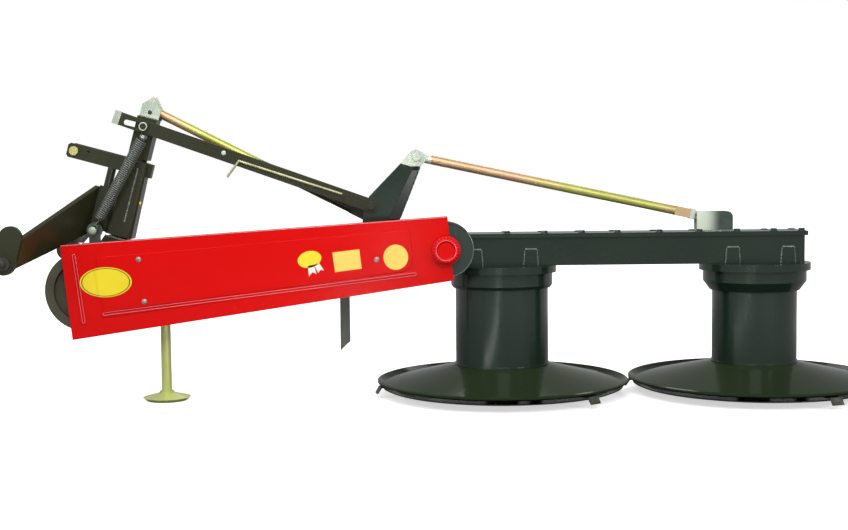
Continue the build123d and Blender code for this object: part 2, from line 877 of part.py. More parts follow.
def make_strut():
    run_x = slide_bolt[0] - strut_start[0]
    run_z = slide_bolt[1] - strut_start[1]
    run = hypot(run_x, run_z)
    reach = run + strut_slot_travel + strut_tail
    tip = (strut_start[0] + run_x / run * reach, strut_start[1] + run_z / run * reach)
    front = -upright_half_depth - strut_thickness
    bar = slot_bar(strut_start, tip, strut_half_width, front, -upright_half_depth)
    square_end = Pos(tip[0], 0, tip[1]) * Rot(0, -degrees(atan2(run_z, run_x)), 0) * block(
        0, overrun + strut_half_width, -cover_depth, cover_depth,
        -overrun - strut_half_width, overrun + strut_half_width,
    )
    bar = bar - square_end
    half = float_travel / 2
    turn_x = slide_bolt[0] - input_x
    turn_z = slide_bolt[1] - input_height
    far = (
        input_x + turn_x * cos(2 * half) - turn_z * sin(2 * half),
        input_height + turn_x * sin(2 * half) + turn_z * cos(2 * half),
    )
    slot = slot_bar(
        slide_bolt, far, strut_bolt_radius + strut_slot_room,
        front - overrun, overrun - upright_half_depth,
    )
    return bar - slot


parts["upright"], parts["upright_bolt"] = make_upright()
parts["strut"] = make_strut()
strut_front = -upright_half_depth - strut_thickness
parts["strut_bolt"] = cross_bar(
    *strut_start, bolt_head_radius, strut_front - bolt_head_length, strut_front,
)

# Hook rod on the strut's front face
hook_radius = 4.5
hook_start_share = 0.129
hook_end_share = 0.58
hook_start_lift = 5.0
hook_end_drop = 4.0
hook_tip_back = 43.0
hook_tip_drop = 57.0


def strut_point(share, lift):
    run_x = slide_bolt[0] - strut_start[0]
    run_z = slide_bolt[1] - strut_start[1]
    run = hypot(run_x, run_z)
    x = strut_start[0] + run_x * share + run_z / run * lift
    return x, strut_start[1] + run_z * share - run_x / run * lift


def make_hook_rod():
    y = strut_front - hook_radius - seat_gap
    start = strut_point(hook_start_share, hook_start_lift)
    bend = strut_point(hook_end_share, -hook_end_drop)
    tip = (bend[0] - hook_tip_back, bend[1] - hook_tip_drop)
    run = rod((start[0], y, start[1]), (bend[0], y, bend[1]), hook_radius)
    tail = rod((bend[0], y, bend[1]), (tip[0], y, tip[1]), hook_radius)
    return run + tail + Pos(bend[0], y, bend[1]) * Sphere(hook_radius)


parts["hook_rod"] = make_hook_rod()

# Parking stand and guard post in front of the carrier beam
stand_radius = 18.0
stand_sleeve_radius = 24.0
stand_weld_gap = 6.0
stand_sleeve_half_length = 75.0
stand_top_overhang = 47.4
foot_radius = 85.0
foot_height = 34.0
foot_rim_height = 12.0
foot_collar_radius = 26.0
foot_base_share = 0.82
guard_post_reach = 364.0
guard_post_width = 36.0
guard_post_wall = 5.0
guard_post_bottom_height = 169.0
guard_post_cut = 56.0
stand_x = input_x + stand_shaft_reach
stand_y = -beam_half_depth - stand_weld_gap - stand_sleeve_radius


def make_stand():
    beam_z = input_height + stand_shaft_reach * (pivot_height - input_height) / pulley_span
    leg_top = beam_z + stand_sleeve_half_length + stand_top_overhang
    sleeve = post(
        stand_x, stand_y, stand_sleeve_radius,
        beam_z - stand_sleeve_half_length, beam_z + stand_sleeve_half_length,
    )
    pad = block(
        stand_x - stand_sleeve_radius, stand_x + stand_sleeve_radius,
        stand_y, -beam_half_depth,
        beam_z - beam_half_height / 2, beam_z + beam_half_height / 2,
    )
    bore = post(stand_x, stand_y, stand_radius + seat_gap, 0, leg_top + overrun)
    sleeve = sleeve + pad - bore
    leg = post(stand_x, stand_y, stand_radius, foot_height, leg_top)
    foot = turned(
        [
            (0, 0),
            (foot_radius * foot_base_share, 0),
            (foot_radius, foot_rim_height),
            (foot_collar_radius, foot_height - foot_rim_height / 2),
            (foot_collar_radius, foot_height),
            (0, foot_height),
        ],
        stand_x, stand_y,
    )
    return sleeve, leg, foot


def make_guard_post():
    x = pivot_x - guard_post_reach
    half = guard_post_width / 2
    beam_z = pivot_height - guard_post_reach * (pivot_height - input_height) / pulley_span
    front = -beam_half_depth
    back_leaf = block(
        x - half, x + half, front - guard_post_wall, front, guard_post_bottom_height, beam_z,
    )
    side_leaf = block(
        x + half - guard_post_wall, x + half, front - guard_post_width, front,
        guard_post_bottom_height, beam_z,
    )
    corner = guard_post_bottom_height
    cut = plate(
        [
            (x + half + overrun, corner + guard_post_cut),
            (x + half + overrun, corner - overrun),
            (x - half, corner - overrun),
            (x - half, corner),
        ],
        front - guard_post_width - overrun, front + overrun,
    )
    return back_leaf + side_leaf - cut


parts["stand_sleeve"], parts["stand_leg"], parts["stand_foot"] = make_stand()
parts["guard_post"] = make_guard_post()

# Tower: foot plates round the housing, a round core for the hitch and a boxed head
foot_plate_thickness = 12.0
foot_ring_radius = 84.0
latch_radius = 58.0
sleeve_bottom_half_width = 49.0
sleeve_top_half_width = 41.0
sleeve_corner_radius = 14.0
cap_half_depth = 32.0
cap_wall = 5.0
cap_left = 30.0
cap_right = 40.0
cap_side_rise = 44.0
cap_peak_rise = 80.0
cap_peak_shift = 4.0
cap_right_rise = 35.0
lock_pin_shift = 10.0
lock_pin_rise = 30.0
lock_pin_radius = 7.0
lock_eye_radius = 18.0
lock_eye_half_depth = 18.0
lock_rod_radius = 16.0
lock_slot_length = 80.0
lock_slot_room = 1.5
lock_tail_radius = 17.0
lock_tail_half_depth = 5.0
spring_depth = 90.0
spring_radius = 21.0
spring_peg_rise = 565.0
spring_peg_shift = 13.6
spring_peg_radius = 6.0
spring_peg_overhang = 12.0
spring_bolt_rise = 204.0
spring_bolt_radius = 6.0
spring_eye_radius = 12.0
spring_wire_radius = 4.0
spring_body_start = 10.0
spring_body_end = 45.0
spring_loop_length = 26.0


def make_tower():
    x = tower_offset
    foot = block(
        x - foot_half_width, x + foot_half_width, -foot_half_depth, foot_half_depth,
        foot_bottom, foot_top,
    )
    core = post(x, 0, core_radius, foot_top, head_bottom)
    head = block(
        x - head_half_width, x + head_half_width, -head_half_width, head_half_width,
        head_bottom, head_top,
    )
    cheek = plate(
        [
            (-foot_ring_radius, 0),
            (x - foot_half_width, foot_top),
            (x + foot_half_width, foot_top),
            (foot_ring_radius, 0),
        ],
        foot_half_depth, foot_half_depth + foot_plate_thickness,
    )
    cheek = cheek + cross_bar(
        0, 0, foot_ring_radius, foot_half_depth, foot_half_depth + foot_plate_thickness,
    )
    cheek = cheek - cross_bar(
        0, 0, housing_radius + seat_gap, 0, foot_half_depth + foot_plate_thickness + overrun,
    )
    cheeks = Compound(children=[on_tower(cheek), on_tower(mirrored(cheek))])
    return on_tower(foot + core + head), cheeks


def make_cap():
    # Bent plate on top of the tower, which holds the lock rod's pin
    x = tower_offset
    outline = [
        (x - cap_left, head_top),
        (x - cap_left, head_top + cap_side_rise),
        (x + cap_peak_shift, head_top + cap_peak_rise),
        (x + cap_right, head_top + cap_right_rise),
        (x + cap_right, head_top),
    ]
    box = plate(outline, -cap_half_depth, cap_half_depth)
    room = block(
        x - cap_left + cap_wall, x + cap_right + overrun,
        cap_wall - cap_half_depth, cap_half_depth - cap_wall,
        head_top, head_top + cap_peak_rise,
    )
    pin = cross_bar(
        x + lock_pin_shift, head_top + lock_pin_rise, lock_pin_radius,
        -cap_half_depth, cap_half_depth,
    )
    return on_tower(box - room + pin)


def make_lock_rod():
    pin = tower_point(tower_offset + lock_pin_shift, head_top + lock_pin_rise)
    run_x = lock_anchor[0] - pin[0]
    run_z = lock_anchor[1] - pin[1]
    run = hypot(run_x, run_z)
    tail_end = (
        lock_anchor[0] + run_x / run * lock_slot_length,
        lock_anchor[1] + run_z / run * lock_slot_length,
    )
    tail_start = (
        lock_anchor[0] - run_x / run * lock_slot_length,
        lock_anchor[1] - run_z / run * lock_slot_length,
    )
    tube = rod((pin[0], 0, pin[1]), (tail_start[0], 0, tail_start[1]), lock_rod_radius)
    eye = cross_bar(*pin, lock_eye_radius, -lock_eye_half_depth, lock_eye_half_depth)
    bore = cross_bar(
        *pin, lock_pin_radius + seat_gap,
        -lock_eye_half_depth - overrun, lock_eye_half_depth + overrun,
    )
    tail = slot_bar(
        tail_start, tail_end, lock_tail_radius, -lock_tail_half_depth, lock_tail_half_depth,
    )
    slot = slot_bar(
        lock_anchor, tail_end, lock_pin_radius + lock_slot_room,
        -lock_tail_half_depth - overrun, lock_tail_half_depth + overrun,
    )
    return tube + eye - bore + (tail - slot)


def make_spring():
    peg_x, peg_z = tower_point(tower_offset + spring_peg_shift, spring_peg_rise)
    bolt_x = input_x
    bolt_z = input_height + spring_bolt_rise
    run = hypot(bolt_x - peg_x, bolt_z - peg_z)
    unit = ((bolt_x - peg_x) / run, (bolt_z - peg_z) / run)

    def along(distance):
        return peg_x + unit[0] * distance, peg_z + unit[1] * distance

    body_start = along(spring_body_start)
    body_end = along(run - spring_body_end)
    coils = rod(
        (body_start[0], -spring_depth, body_start[1]),
        (body_end[0], -spring_depth, body_end[1]),
        spring_radius,
    )
    half = spring_wire_radius
    eye = cross_bar(
        peg_x, peg_z, spring_eye_radius, -spring_depth - half, half - spring_depth,
    )
    shank = slot_bar(
        (peg_x, peg_z), body_start, spring_wire_radius * 2, -spring_depth - half,
        half - spring_depth,
    )
    bore = cross_bar(
        peg_x, peg_z, spring_peg_radius + seat_gap,
        -spring_depth - overrun, overrun - spring_depth,
    )
    loop = slot_bar(
        along(run - spring_loop_length), (bolt_x, bolt_z), spring_eye_radius,
        -spring_depth - half, half - spring_depth,
    )
    loop_bore = slot_bar(
        along(run - spring_loop_length + spring_eye_radius), (bolt_x, bolt_z),
        spring_bolt_radius + seat_gap * 2, -spring_depth - overrun, overrun - spring_depth,
    )
    tail = slot_bar(
        body_end, along(run - spring_loop_length), spring_wire_radius * 2,
        -spring_depth - half, half - spring_depth,
    )
    return coils + (eye + shank - bore) + (tail + loop - loop_bore)


parts["tower_post"], parts["tower_cheeks"] = make_tower()
parts["tower_cap"] = make_cap()
parts["lock_rod"] = make_lock_rod()
parts["balance_spring"] = make_spring()

# Pins of the tower, the upright and the housing
slide_bolt_front = 74.0
slide_collar_radius = 14.0
bracket_depth = 70.0
bracket_half_width = 20.0
bracket_eye_radius = 28.0
bracket_ring_radius = 76.0
bracket_thickness = 10.0
spring_bolt_head_radius = 14.0
spring_bolt_head_gap = 6.0


def make_pins():
    slide = cross_bar(
        *slide_bolt, strut_bolt_radius, -slide_bolt_front, -head_half_width,
    )
    collar = cross_bar(
        *slide_bolt, slide_collar_radius, seat_gap - upright_half_depth, -head_half_width,
    )
    nut = cross_bar(
        *slide_bolt, bolt_head_radius, -slide_bolt_front, strut_front - seat_gap,
    )
    peg_x, peg_z = tower_point(tower_offset + spring_peg_shift, spring_peg_rise)
    peg_front = -spring_depth - spring_peg_overhang
    peg = cross_bar(peg_x, peg_z, spring_peg_radius, peg_front, -head_half_width)
    lock_pin = cross_bar(*lock_anchor, lock_pin_radius, -upright_inner, upright_inner)
    return slide + collar + nut, peg, lock_pin


def make_spring_bracket():
    tip = input_height + spring_bolt_rise
    y_low = -bracket_depth
    y_high = bracket_thickness - bracket_depth
    ring = cross_bar(input_x, input_height, bracket_ring_radius, y_low, y_high)
    arm = block(
        input_x - bracket_half_width, input_x + bracket_half_width, y_low, y_high,
        input_height, tip,
    )
    top = cross_bar(input_x, tip, bracket_eye_radius, y_low, y_high)
    bore = cross_bar(input_x, input_height, housing_radius, y_low - overrun, y_high + overrun)
    bolt = cross_bar(
        input_x, tip, spring_bolt_radius, -spring_depth - spring_peg_overhang, y_high,
    )
    head = cross_bar(
        input_x, tip, spring_bolt_head_radius,
        -spring_depth - spring_peg_overhang, -spring_depth - spring_bolt_head_gap,
    )
    return ring + arm + top - bore + bolt + head


parts["slide_bolt"], parts["spring_peg"], parts["lock_pin"] = make_pins()
parts["spring_bracket"] = make_spring_bracket()

# Hitch that turns on the tower's core
yoke_half_depth = 36.0
yoke_reach = 96.0
yoke_top = 352.0
yoke_bottom = 198.0
yoke_shoulder = 44.0
leg_root_right = 106.0
leg_root_left = 122.0
leg_root_top = 352.0
leg_root_bottom = 178.0
leg_end_right = 240.0
leg_end_left = 256.0
leg_end_top = 132.0
leg_end_bottom = 32.0
ear_half_gap = 24.0
ear_thickness = 12.0
ear_half_height = 26.0
ear_end_reach = 24.0
ear_chamfer = 8.0
stay_half_width = 7.5
stay_reach = 86.0
latch_half_depth = 18.0
latch_height = 50.0
top_pin_head_radius = 16.0
top_pin_head_length = 5.0
spare_hole_shift = 52.0
spare_hole_lift = 9.0
spare_hole_radius = 5.0


def sleeve_body():
    # A tapering square box with rounded upright edges
    rows = ((sleeve_bottom, sleeve_bottom_half_width), (sleeve_top, sleeve_top_half_width))
    faces = [
        Pos(tower_offset, 0, height) * RectangleRounded(2 * half, 2 * half, sleeve_corner_radius)
        for height, half in rows
    ]
    return loft(faces)


def make_hitch():
    x = tower_offset
    latch = block(
        x, x + latch_radius, -latch_half_depth, latch_half_depth,
        sleeve_top - latch_height, sleeve_top,
    )
    bore = post(
        x, 0, core_radius + seat_gap, sleeve_bottom - overrun, sleeve_top + overrun,
    )
    yoke = plate(
        [
            (x, yoke_top),
            (x - yoke_reach, yoke_top),
            (x - yoke_reach - yoke_shoulder, yoke_top - yoke_shoulder),
            (x - yoke_reach - yoke_shoulder, yoke_bottom),
            (x, yoke_bottom),
        ],
        -yoke_half_depth, yoke_half_depth,
    )
    sleeve = sleeve_body() + latch + yoke - bore
    root = Plane(origin=(0, -yoke_half_depth, 0), x_dir=(1, 0, 0), z_dir=(0, -1, 0))
    end = Plane(origin=(0, -link_spread, 0), x_dir=(1, 0, 0), z_dir=(0, -1, 0))
    root_face = root * Pos(
        x - (leg_root_left + leg_root_right) / 2, (leg_root_top + leg_root_bottom) / 2,
    ) * Rectangle(leg_root_left - leg_root_right, leg_root_top - leg_root_bottom)
    end_face = end * Pos(
        x - (leg_end_left + leg_end_right) / 2, (leg_end_top + leg_end_bottom) / 2,
    ) * Rectangle(leg_end_left - leg_end_right, leg_end_top - leg_end_bottom)
    leg = loft([root_face, end_face])
    outer = -link_spread - lug_thickness
    lug = slot_bar(
        (-link_pin_forward, link_pin_rise), (-link_pin_forward, link_pin_rise + lug_rise),
        lug_radius, outer, -link_spread,
    )
    lug = lug - cross_bar(
        -link_pin_forward, link_pin_rise, link_pin_radius, outer - overrun, overrun - link_spread,
    )
    pin = cross_bar(
        -link_pin_forward, link_pin_rise, link_pin_radius, outer - link_pin_length, -link_spread,
    )
    pin = pin + cross_bar(
        -link_pin_forward, link_pin_rise, link_pin_collar_radius,
        outer - link_pin_collar_length, outer,
    )
    return sleeve, leg, lug, pin


def make_top_link():
    x = tower_offset
    ear_high = ear_half_gap + ear_thickness
    end = -top_pin_forward - ear_end_reach
    low = top_pin_rise - ear_half_height
    high = top_pin_rise + ear_half_height
    ear = plate(
        [
            (end, low + ear_chamfer),
            (end + ear_chamfer, low),
            (x, low),
            (x, high),
            (end + ear_chamfer, high),
            (end, high - ear_chamfer),
        ],
        ear_half_gap, ear_high,
    )
    above = post(x, 0, sleeve_top_half_width, sleeve_top, high + overrun)
    ear = ear - sleeve_body() - above
    ear = ear - cross_bar(
        -top_pin_forward, top_pin_rise, top_pin_radius, 0, ear_high + overrun,
    )
    ear = ear - cross_bar(
        spare_hole_shift - top_pin_forward, top_pin_rise + spare_hole_lift, spare_hole_radius,
        0, ear_high + overrun,
    )
    pin = cross_bar(-top_pin_forward, top_pin_rise, top_pin_radius, -ear_high, ear_high)
    head = cross_bar(
        -top_pin_forward, top_pin_rise, top_pin_head_radius,
        -ear_high - top_pin_head_length, -ear_high,
    )
    stay = block(
        x - stay_reach - stay_half_width, x - stay_reach + stay_half_width,
        ear_half_gap, ear_high, yoke_top, low,
    )
    return ear, pin + head, stay


sleeve, leg, lug, link_pin = make_hitch()
ear, top_pin, stay = make_top_link()
parts["hitch_sleeve"] = on_tower(sleeve)
parts["hitch_leg_left"] = on_tower(leg)
parts["hitch_leg_right"] = on_tower(mirrored(leg))
parts["link_lug_left"] = on_tower(lug)
parts["link_lug_right"] = on_tower(mirrored(lug))
parts["link_pin_left"] = on_tower(link_pin)
parts["link_pin_right"] = on_tower(mirrored(link_pin))
parts["top_link_ears"] = Compound(children=[on_tower(ear), on_tower(mirrored(ear))])
parts["top_link_pin"] = on_tower(top_pin)
parts["hitch_stay"] = Compound(children=[on_tower(stay), on_tower(mirrored(stay))])

os.makedirs("parts", exist_ok=True)
for name, shape in parts.items():
    export_step(shape, "parts/" + name + ".step")
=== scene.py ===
import bpy
import bmesh
import json
from math import cos, pi, radians, sin
from mathutils import Matrix, Vector


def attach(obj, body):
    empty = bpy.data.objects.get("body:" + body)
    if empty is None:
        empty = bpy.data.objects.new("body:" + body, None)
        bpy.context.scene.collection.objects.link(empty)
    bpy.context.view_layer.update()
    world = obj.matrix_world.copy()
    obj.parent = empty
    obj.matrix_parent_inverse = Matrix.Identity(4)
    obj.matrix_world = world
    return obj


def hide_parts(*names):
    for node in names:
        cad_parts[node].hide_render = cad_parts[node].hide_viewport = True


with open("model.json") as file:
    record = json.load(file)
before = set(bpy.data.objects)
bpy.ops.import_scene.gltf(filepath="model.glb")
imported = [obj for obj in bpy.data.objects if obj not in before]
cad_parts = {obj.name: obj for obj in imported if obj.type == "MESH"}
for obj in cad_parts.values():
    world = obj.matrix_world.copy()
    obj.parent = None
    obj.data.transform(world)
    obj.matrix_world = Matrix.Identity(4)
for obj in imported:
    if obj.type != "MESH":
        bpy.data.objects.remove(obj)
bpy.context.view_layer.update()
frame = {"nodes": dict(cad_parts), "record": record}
nodes = frame["nodes"]
print("frame loaded:", len(nodes), "nodes")

# Camera, at the photo's viewing angle

camera = {
    "lens": 57.8,
    "sensor": 36.0,
    "place": (-0.108, -4.94, 0.82),
    "pitchDown": 4.0,
    "roll": -0.6,
}


def makeCamera():
    data = bpy.data.cameras.new("camera")
    data.lens = camera["lens"]
    data.sensor_width = camera["sensor"]
    made = bpy.data.objects.new("camera", data)
    made.location = camera["place"]
    aim = Matrix.Rotation(radians(90 - camera["pitchDown"]), 4, "X")
    aim = aim @ Matrix.Rotation(radians(camera["roll"]), 4, "Z")
    made.rotation_euler = aim.to_euler()
    bpy.context.scene.collection.objects.link(made)
    bpy.context.scene.camera = made


makeCamera()
print("camera made")

# Shader helpers. A Wire is one socket, and its operators add the nodes

softEdge = {"radius": 0.0016, "samples": 4}


class Wire:
    def __init__(self, shader, socket):
        self.shader = shader
        self.socket = socket

    def maths(self, operation, other, swapped=False):
        values = {0: other, 1: self} if swapped else {0: self, 1: other}
        return self.shader.node("Math", {"operation": operation}, values)

    def __add__(self, other):
        return self.maths("ADD", other)

    def __radd__(self, other):
        return self.maths("ADD", other, True)

    def __sub__(self, other):
        return self.maths("SUBTRACT", other)

    def __rsub__(self, other):
        return self.maths("SUBTRACT", other, True)

    def __mul__(self, other):
        return self.maths("MULTIPLY", other)

    def __rmul__(self, other):
        return self.maths("MULTIPLY", other, True)

    def above(self, low, high):
        # 0 below low, 1 above high, smooth between
        return self.shader.node(
            "MapRange", {"interpolation_type": "SMOOTHSTEP"}, {0: self, 1: low, 2: high},
        )


class Shader:
    def __init__(self, name, owner=None):
        self.owner = owner or bpy.data.materials.new(name)
        self.owner.use_nodes = True
        self.tree = self.owner.node_tree
        self.tree.nodes.clear()
        self.place = self.node("TexCoord", {}, {}, "Object")

    def node(self, kind, settings, sockets, output=0):
        made = self.tree.nodes.new("ShaderNode" + kind)
        for name, value in settings.items():
            if name == "stops":
                self.setStops(made.color_ramp, value)
            else:
                setattr(made, name, value)
        for name, value in sockets.items():
            if isinstance(value, Wire):
                self.tree.links.new(value.socket, made.inputs[name])
            else:
                made.inputs[name].default_value = value
        return Wire(self, made.outputs[output])

    def setStops(self, ramp, stops):
        while len(ramp.elements) < len(stops):
            ramp.elements.new(1.0)
        for element, (position, colour) in zip(ramp.elements, stops):
            element.position = position
            element.color = (*colour, 1)

    def noise(self, scale, detail=3.0, roughness=0.5, stretch=(1, 1, 1)):
        where = self.node("Mapping", {}, {"Vector": self.place, "Scale": stretch})
        return self.node(
            "TexNoise", {},
            {"Vector": where, "Scale": scale, "Detail": detail, "Roughness": roughness},
        )

    def mix(self, factor, first, second):
        # The node's sockets 6 and 7 take the two colours, and its output 2 gives their mix
        return self.node(
            "Mix", {"data_type": "RGBA"},
            {"Factor": factor, 6: self.colour(first), 7: self.colour(second)}, 2,
        )

    def colour(self, value):
        return value if isinstance(value, Wire) else (*value, 1)

    def bump(self, height, distance):
        # Ripples over edges that look slightly rounded
        rounded = self.node(
            "Bevel", {"samples": softEdge["samples"]}, {"Radius": softEdge["radius"]},
        )
        return self.node(
            "Bump", {},
            {"Height": height, "Distance": distance, "Strength": 1.0, "Normal": rounded},
        )

    def finish(self, sockets):
        surface = self.node("BsdfPrincipled", {}, sockets)
        out = self.tree.nodes.new("ShaderNodeOutputMaterial")
        self.tree.links.new(surface.socket, out.inputs["Surface"])
        return self.owner


# Paints, in linear colour

paints = {
    "greenPaint": {
        "deep": (0.0070, 0.0165, 0.0100),
        "light": (0.0125, 0.0250, 0.0160),
        "dust": (0.06, 0.075, 0.055),
        "roughness": 0.12,
        "roughnessSpread": 0.1,
        "ripple": 0.0003,
        "swell": 0.00005,
        "specular": 0.5,
    },
    "forkPaint": {
        "deep": (0.014, 0.024, 0.019),
        "light": (0.024, 0.036, 0.030),
        "dust": (0.08, 0.10, 0.08),
        "roughness": 0.2,
        "roughnessSpread": 0.12,
        "ripple": 0.0004,
        "swell": 0.0005,
        "specular": 0.5,
    },
    "discPaint": {
        "deep": (0.011, 0.020, 0.009),
        "light": (0.021, 0.031, 0.014),
        "dust": (0.07, 0.08, 0.05),
        "roughness": 0.07,
        "roughnessSpread": 0.07,
        "ripple": 0.0002,
        "swell": 0.0012,
        "specular": 0.05,
    },
    "postPaint": {
        "deep": (0.040, 0.050, 0.034),
        "light": (0.080, 0.092, 0.064),
        "dust": (0.16, 0.17, 0.12),
        "roughness": 0.24,
        "roughnessSpread": 0.14,
        "ripple": 0.0005,
        "swell": 0.0004,
        "specular": 0.5,
    },
    "olivePaint": {
        "deep": (0.015, 0.0165, 0.006),
        "light": (0.027, 0.029, 0.012),
        "dust": (0.09, 0.09, 0.055),
        "roughness": 0.22,
        "roughnessSpread": 0.14,
        "ripple": 0.0005,
        "swell": 0.0006,
        "specular": 0.4,
    },
    "redPaint": {
        "deep": (0.49, 0.0005, 0.0002),
        "light": (0.58, 0.0010, 0.0004),
        "dust": (0.70, 0.04, 0.03),
        "roughness": 0.12,
        "roughnessSpread": 0.08,
        "ripple": 0.00015,
        "swell": 0.0016,
        "specular": 0.19,
    },
    # Red of the boss's ridges, made lighter and pinker as their painted highlight
    "bossPaintWithHighlight": {
        "deep": (0.56, 0.004, 0.02),
        "light": (0.68, 0.03, 0.08),
        "dust": (0.80, 0.3, 0.35),
        "roughness": 0.2,
        "roughnessSpread": 0.1,
        "ripple": 0.0002,
        "swell": 0.0,
        "specular": 0.6,
    },
    # Pale pink red, a painted highlight: it draws the highlight lines on the cover's rib beads, top
    # edge and boss ring
    "edgeHighlightPaint": {
        "deep": (0.62, 0.035, 0.045),
        "light": (0.80, 0.20, 0.23),
        "dust": (0.85, 0.5, 0.5),
        "roughness": 0.16,
        "roughnessSpread": 0.1,
        "ripple": 0.0001,
        "swell": 0.0,
        "specular": 0.9,
    },
    # Green of the weld beads, made paler to paint their glints
    "weldPaintWithGlint": {
        "deep": (0.06, 0.085, 0.065),
        "light": (0.15, 0.19, 0.15),
        "dust": (0.40, 0.43, 0.34),
        "roughness": 0.12,
        "roughnessSpread": 0.12,
        "ripple": 0.004,
        "swell": 0.0,
        "specular": 0.7,
    },
    # Green of the spring and its bracket, made paler and glossier to paint the coils' highlights
    "springPaintWithHighlight": {
        "deep": (0.035, 0.045, 0.038),
        "light": (0.085, 0.10, 0.085),
        "dust": (0.18, 0.20, 0.16),
        "roughness": 0.16,
        "roughnessSpread": 0.12,
        "ripple": 0.0002,
        "swell": 0.0,
        "specular": 0.9,
    },
}
# What all the paints share. Each noise is its scale, detail and roughness
paintGrain = {
    "cloud": (3.0, 2.0),
    "specks": (160.0, 2.0, 0.7),
    "settled": (14.0, 5.0, 0.65),
    "peel": (55.0, 2.0, 0.5),
    "swell": (3.2, 1.0, 0.4),
    "settledRange": (0.58, 0.85),
    "speckRange": (0.45, 0.7),
    "film": 0.25,
    "filmRoughness": 0.5,
}


def makePaint(name):
    finish = paints[name]
    shader = Shader(name)
    cloud = shader.noise(*paintGrain["cloud"])
    specks = shader.noise(*paintGrain["specks"]).above(*paintGrain["speckRange"])
    settled = shader.noise(*paintGrain["settled"]).above(*paintGrain["settledRange"])
    tone = shader.mix(cloud, finish["deep"], finish["light"])
    film = settled * specks * paintGrain["film"]
    roughness = finish["roughness"] + cloud * finish["roughnessSpread"]
    # Fine peel of the spray over the slow swell of the sheet under it
    peel = shader.noise(*paintGrain["peel"])
    swell = shader.noise(*paintGrain["swell"]) * (finish["swell"] / finish["ripple"])
    return shader.finish({
        "Base Color": shader.mix(film, tone, finish["dust"]),
        "Roughness": roughness + film * paintGrain["filmRoughness"],
        "Specular IOR Level": finish["specular"],
        "Normal": shader.bump(peel + swell, finish["ripple"]),
    })


# Plated steels, each a ramp of tints

yellowZincStops = [
    (0.0, (0.56, 0.60, 0.20)),
    (0.4, (0.68, 0.64, 0.24)),
    (0.7, (0.72, 0.52, 0.24)),
    (1.0, (0.68, 0.40, 0.27)),
]
galvanisedStops = [
    (0.0, (0.34, 0.40, 0.33)),
    (0.5, (0.46, 0.53, 0.44)),
    (1.0, (0.60, 0.66, 0.54)),
]
standStops = [
    (0.0, (0.50, 0.57, 0.13)),
    (0.5, (0.60, 0.66, 0.22)),
    (1.0, (0.68, 0.66, 0.30)),
]
bareSteelStops = [
    (0.0, (0.28, 0.28, 0.27)),
    (0.6, (0.42, 0.42, 0.41)),
    (1.0, (0.52, 0.50, 0.47)),
]
hookStops = [
    (0.0, (0.24, 0.26, 0.12)),
    (0.5, (0.38, 0.40, 0.21)),
    (1.0, (0.52, 0.52, 0.33)),
]
darkSteelStops = [
    (0.0, (0.030, 0.034, 0.024)),
    (0.6, (0.060, 0.064, 0.048)),
    (1.0, (0.12, 0.12, 0.095)),
]
# Columns: name, stops, scale of the patches, metallic, roughness and its spread, depth of the
# drawing lines
platings = {
    "yellow_zinc": ("yellowZinc", yellowZincStops, 5.0, 0.85, 0.3, 0.15, 0.0002),
    "stand_zinc": ("standZinc", standStops, 6.0, 0.35, 0.24, 0.15, 0.0002),
    "hook_zinc": ("hookZinc", hookStops, 14.0, 0.4, 0.3, 0.2, 0.0002),
    "galvanised": ("galvanisedZinc", galvanisedStops, 11.0, 0.5, 0.36, 0.15, 0.0001),
    "bright_steel": ("machinedSteel", bareSteelStops, 12.0, 1.0, 0.25, 0.15, 0.0002),
    "dark_steel": ("darkSteel", darkSteelStops, 20.0, 0.4, 0.3, 0.2, 0.0003),
    "knife_steel": ("knifeSteel", darkSteelStops, 20.0, 0.4, 0.3, 0.2, 0.0003),
}
platingGrain = {
    "patches": (3.0, 0.6),
    "fine": (60.0, 4.0, 0.6),
    "lines": (220.0, 3.0, 0.6, (0.08, 1, 1)),
    "patchRange": (0.3, 0.7),
    "patchShare": 0.8,
    "fineShare": 0.2,
}


def makePlating(name, stops, patchScale, metallic, roughness, roughnessSpread, lineDepth):
    # Plated steel whose tint drifts in soft patches, with fine drawing lines
    shader = Shader(name)
    patches = shader.noise(patchScale, *platingGrain["patches"]).above(*platingGrain["patchRange"])
    fine = shader.noise(*platingGrain["fine"])
    lines = shader.noise(*platingGrain["lines"])
    drift = patches * platingGrain["patchShare"] + fine * platingGrain["fineShare"]
    return shader.finish({
        "Base Color": shader.node("ValToRGB", {"stops": stops}, {0: drift}),
        "Metallic": metallic,
        "Roughness": roughness + fine * roughnessSpread,
        "Normal": shader.bump(lines, lineDepth),
    })


# Columns: deep tone, light tone, metallic, roughness
skins = {
    "gold": ((0.38, 0.40, 0.09), (0.52, 0.50, 0.16), 0.7, 0.4),
    "rose": ((0.46, 0.33, 0.16), (0.56, 0.36, 0.22), 0.7, 0.4),
    "zinc": ((0.52, 0.58, 0.46), (0.72, 0.78, 0.66), 0.4, 0.35),
    "olive": ((0.015, 0.0165, 0.006), (0.027, 0.029, 0.012), 0.0, 0.3),
    "green": ((0.022, 0.038, 0.030), (0.055, 0.075, 0.060), 0.0, 0.3),
}
# Pieces whose skin changes along X: the first skin, then each next one with where it starts and
# where it is whole
changes = {
    "lockRodSkin": ("rose", ("gold", -1.04, -0.90), ("olive", -0.71, -0.66)),
    "pullRodSkin": ("zinc", ("rose", -0.083, -0.076), ("gold", 0.2, 0.45), ("rose", 0.72, 0.84)),
    # The lug's pale left end is partly its zinc and partly a painted glare; it turns green along X
    "lugZincAndGlareSkin": ("zinc", ("green", 0.905, 0.965)),
}
skinGrain = {
    "cloud": (7.0, 3.0, 0.6),
    "cloudRange": (0.3, 0.7),
    "fine": (60.0, 4.0, 0.6),
    "roughnessSpread": 0.12,
    "depth": 0.0002,
}


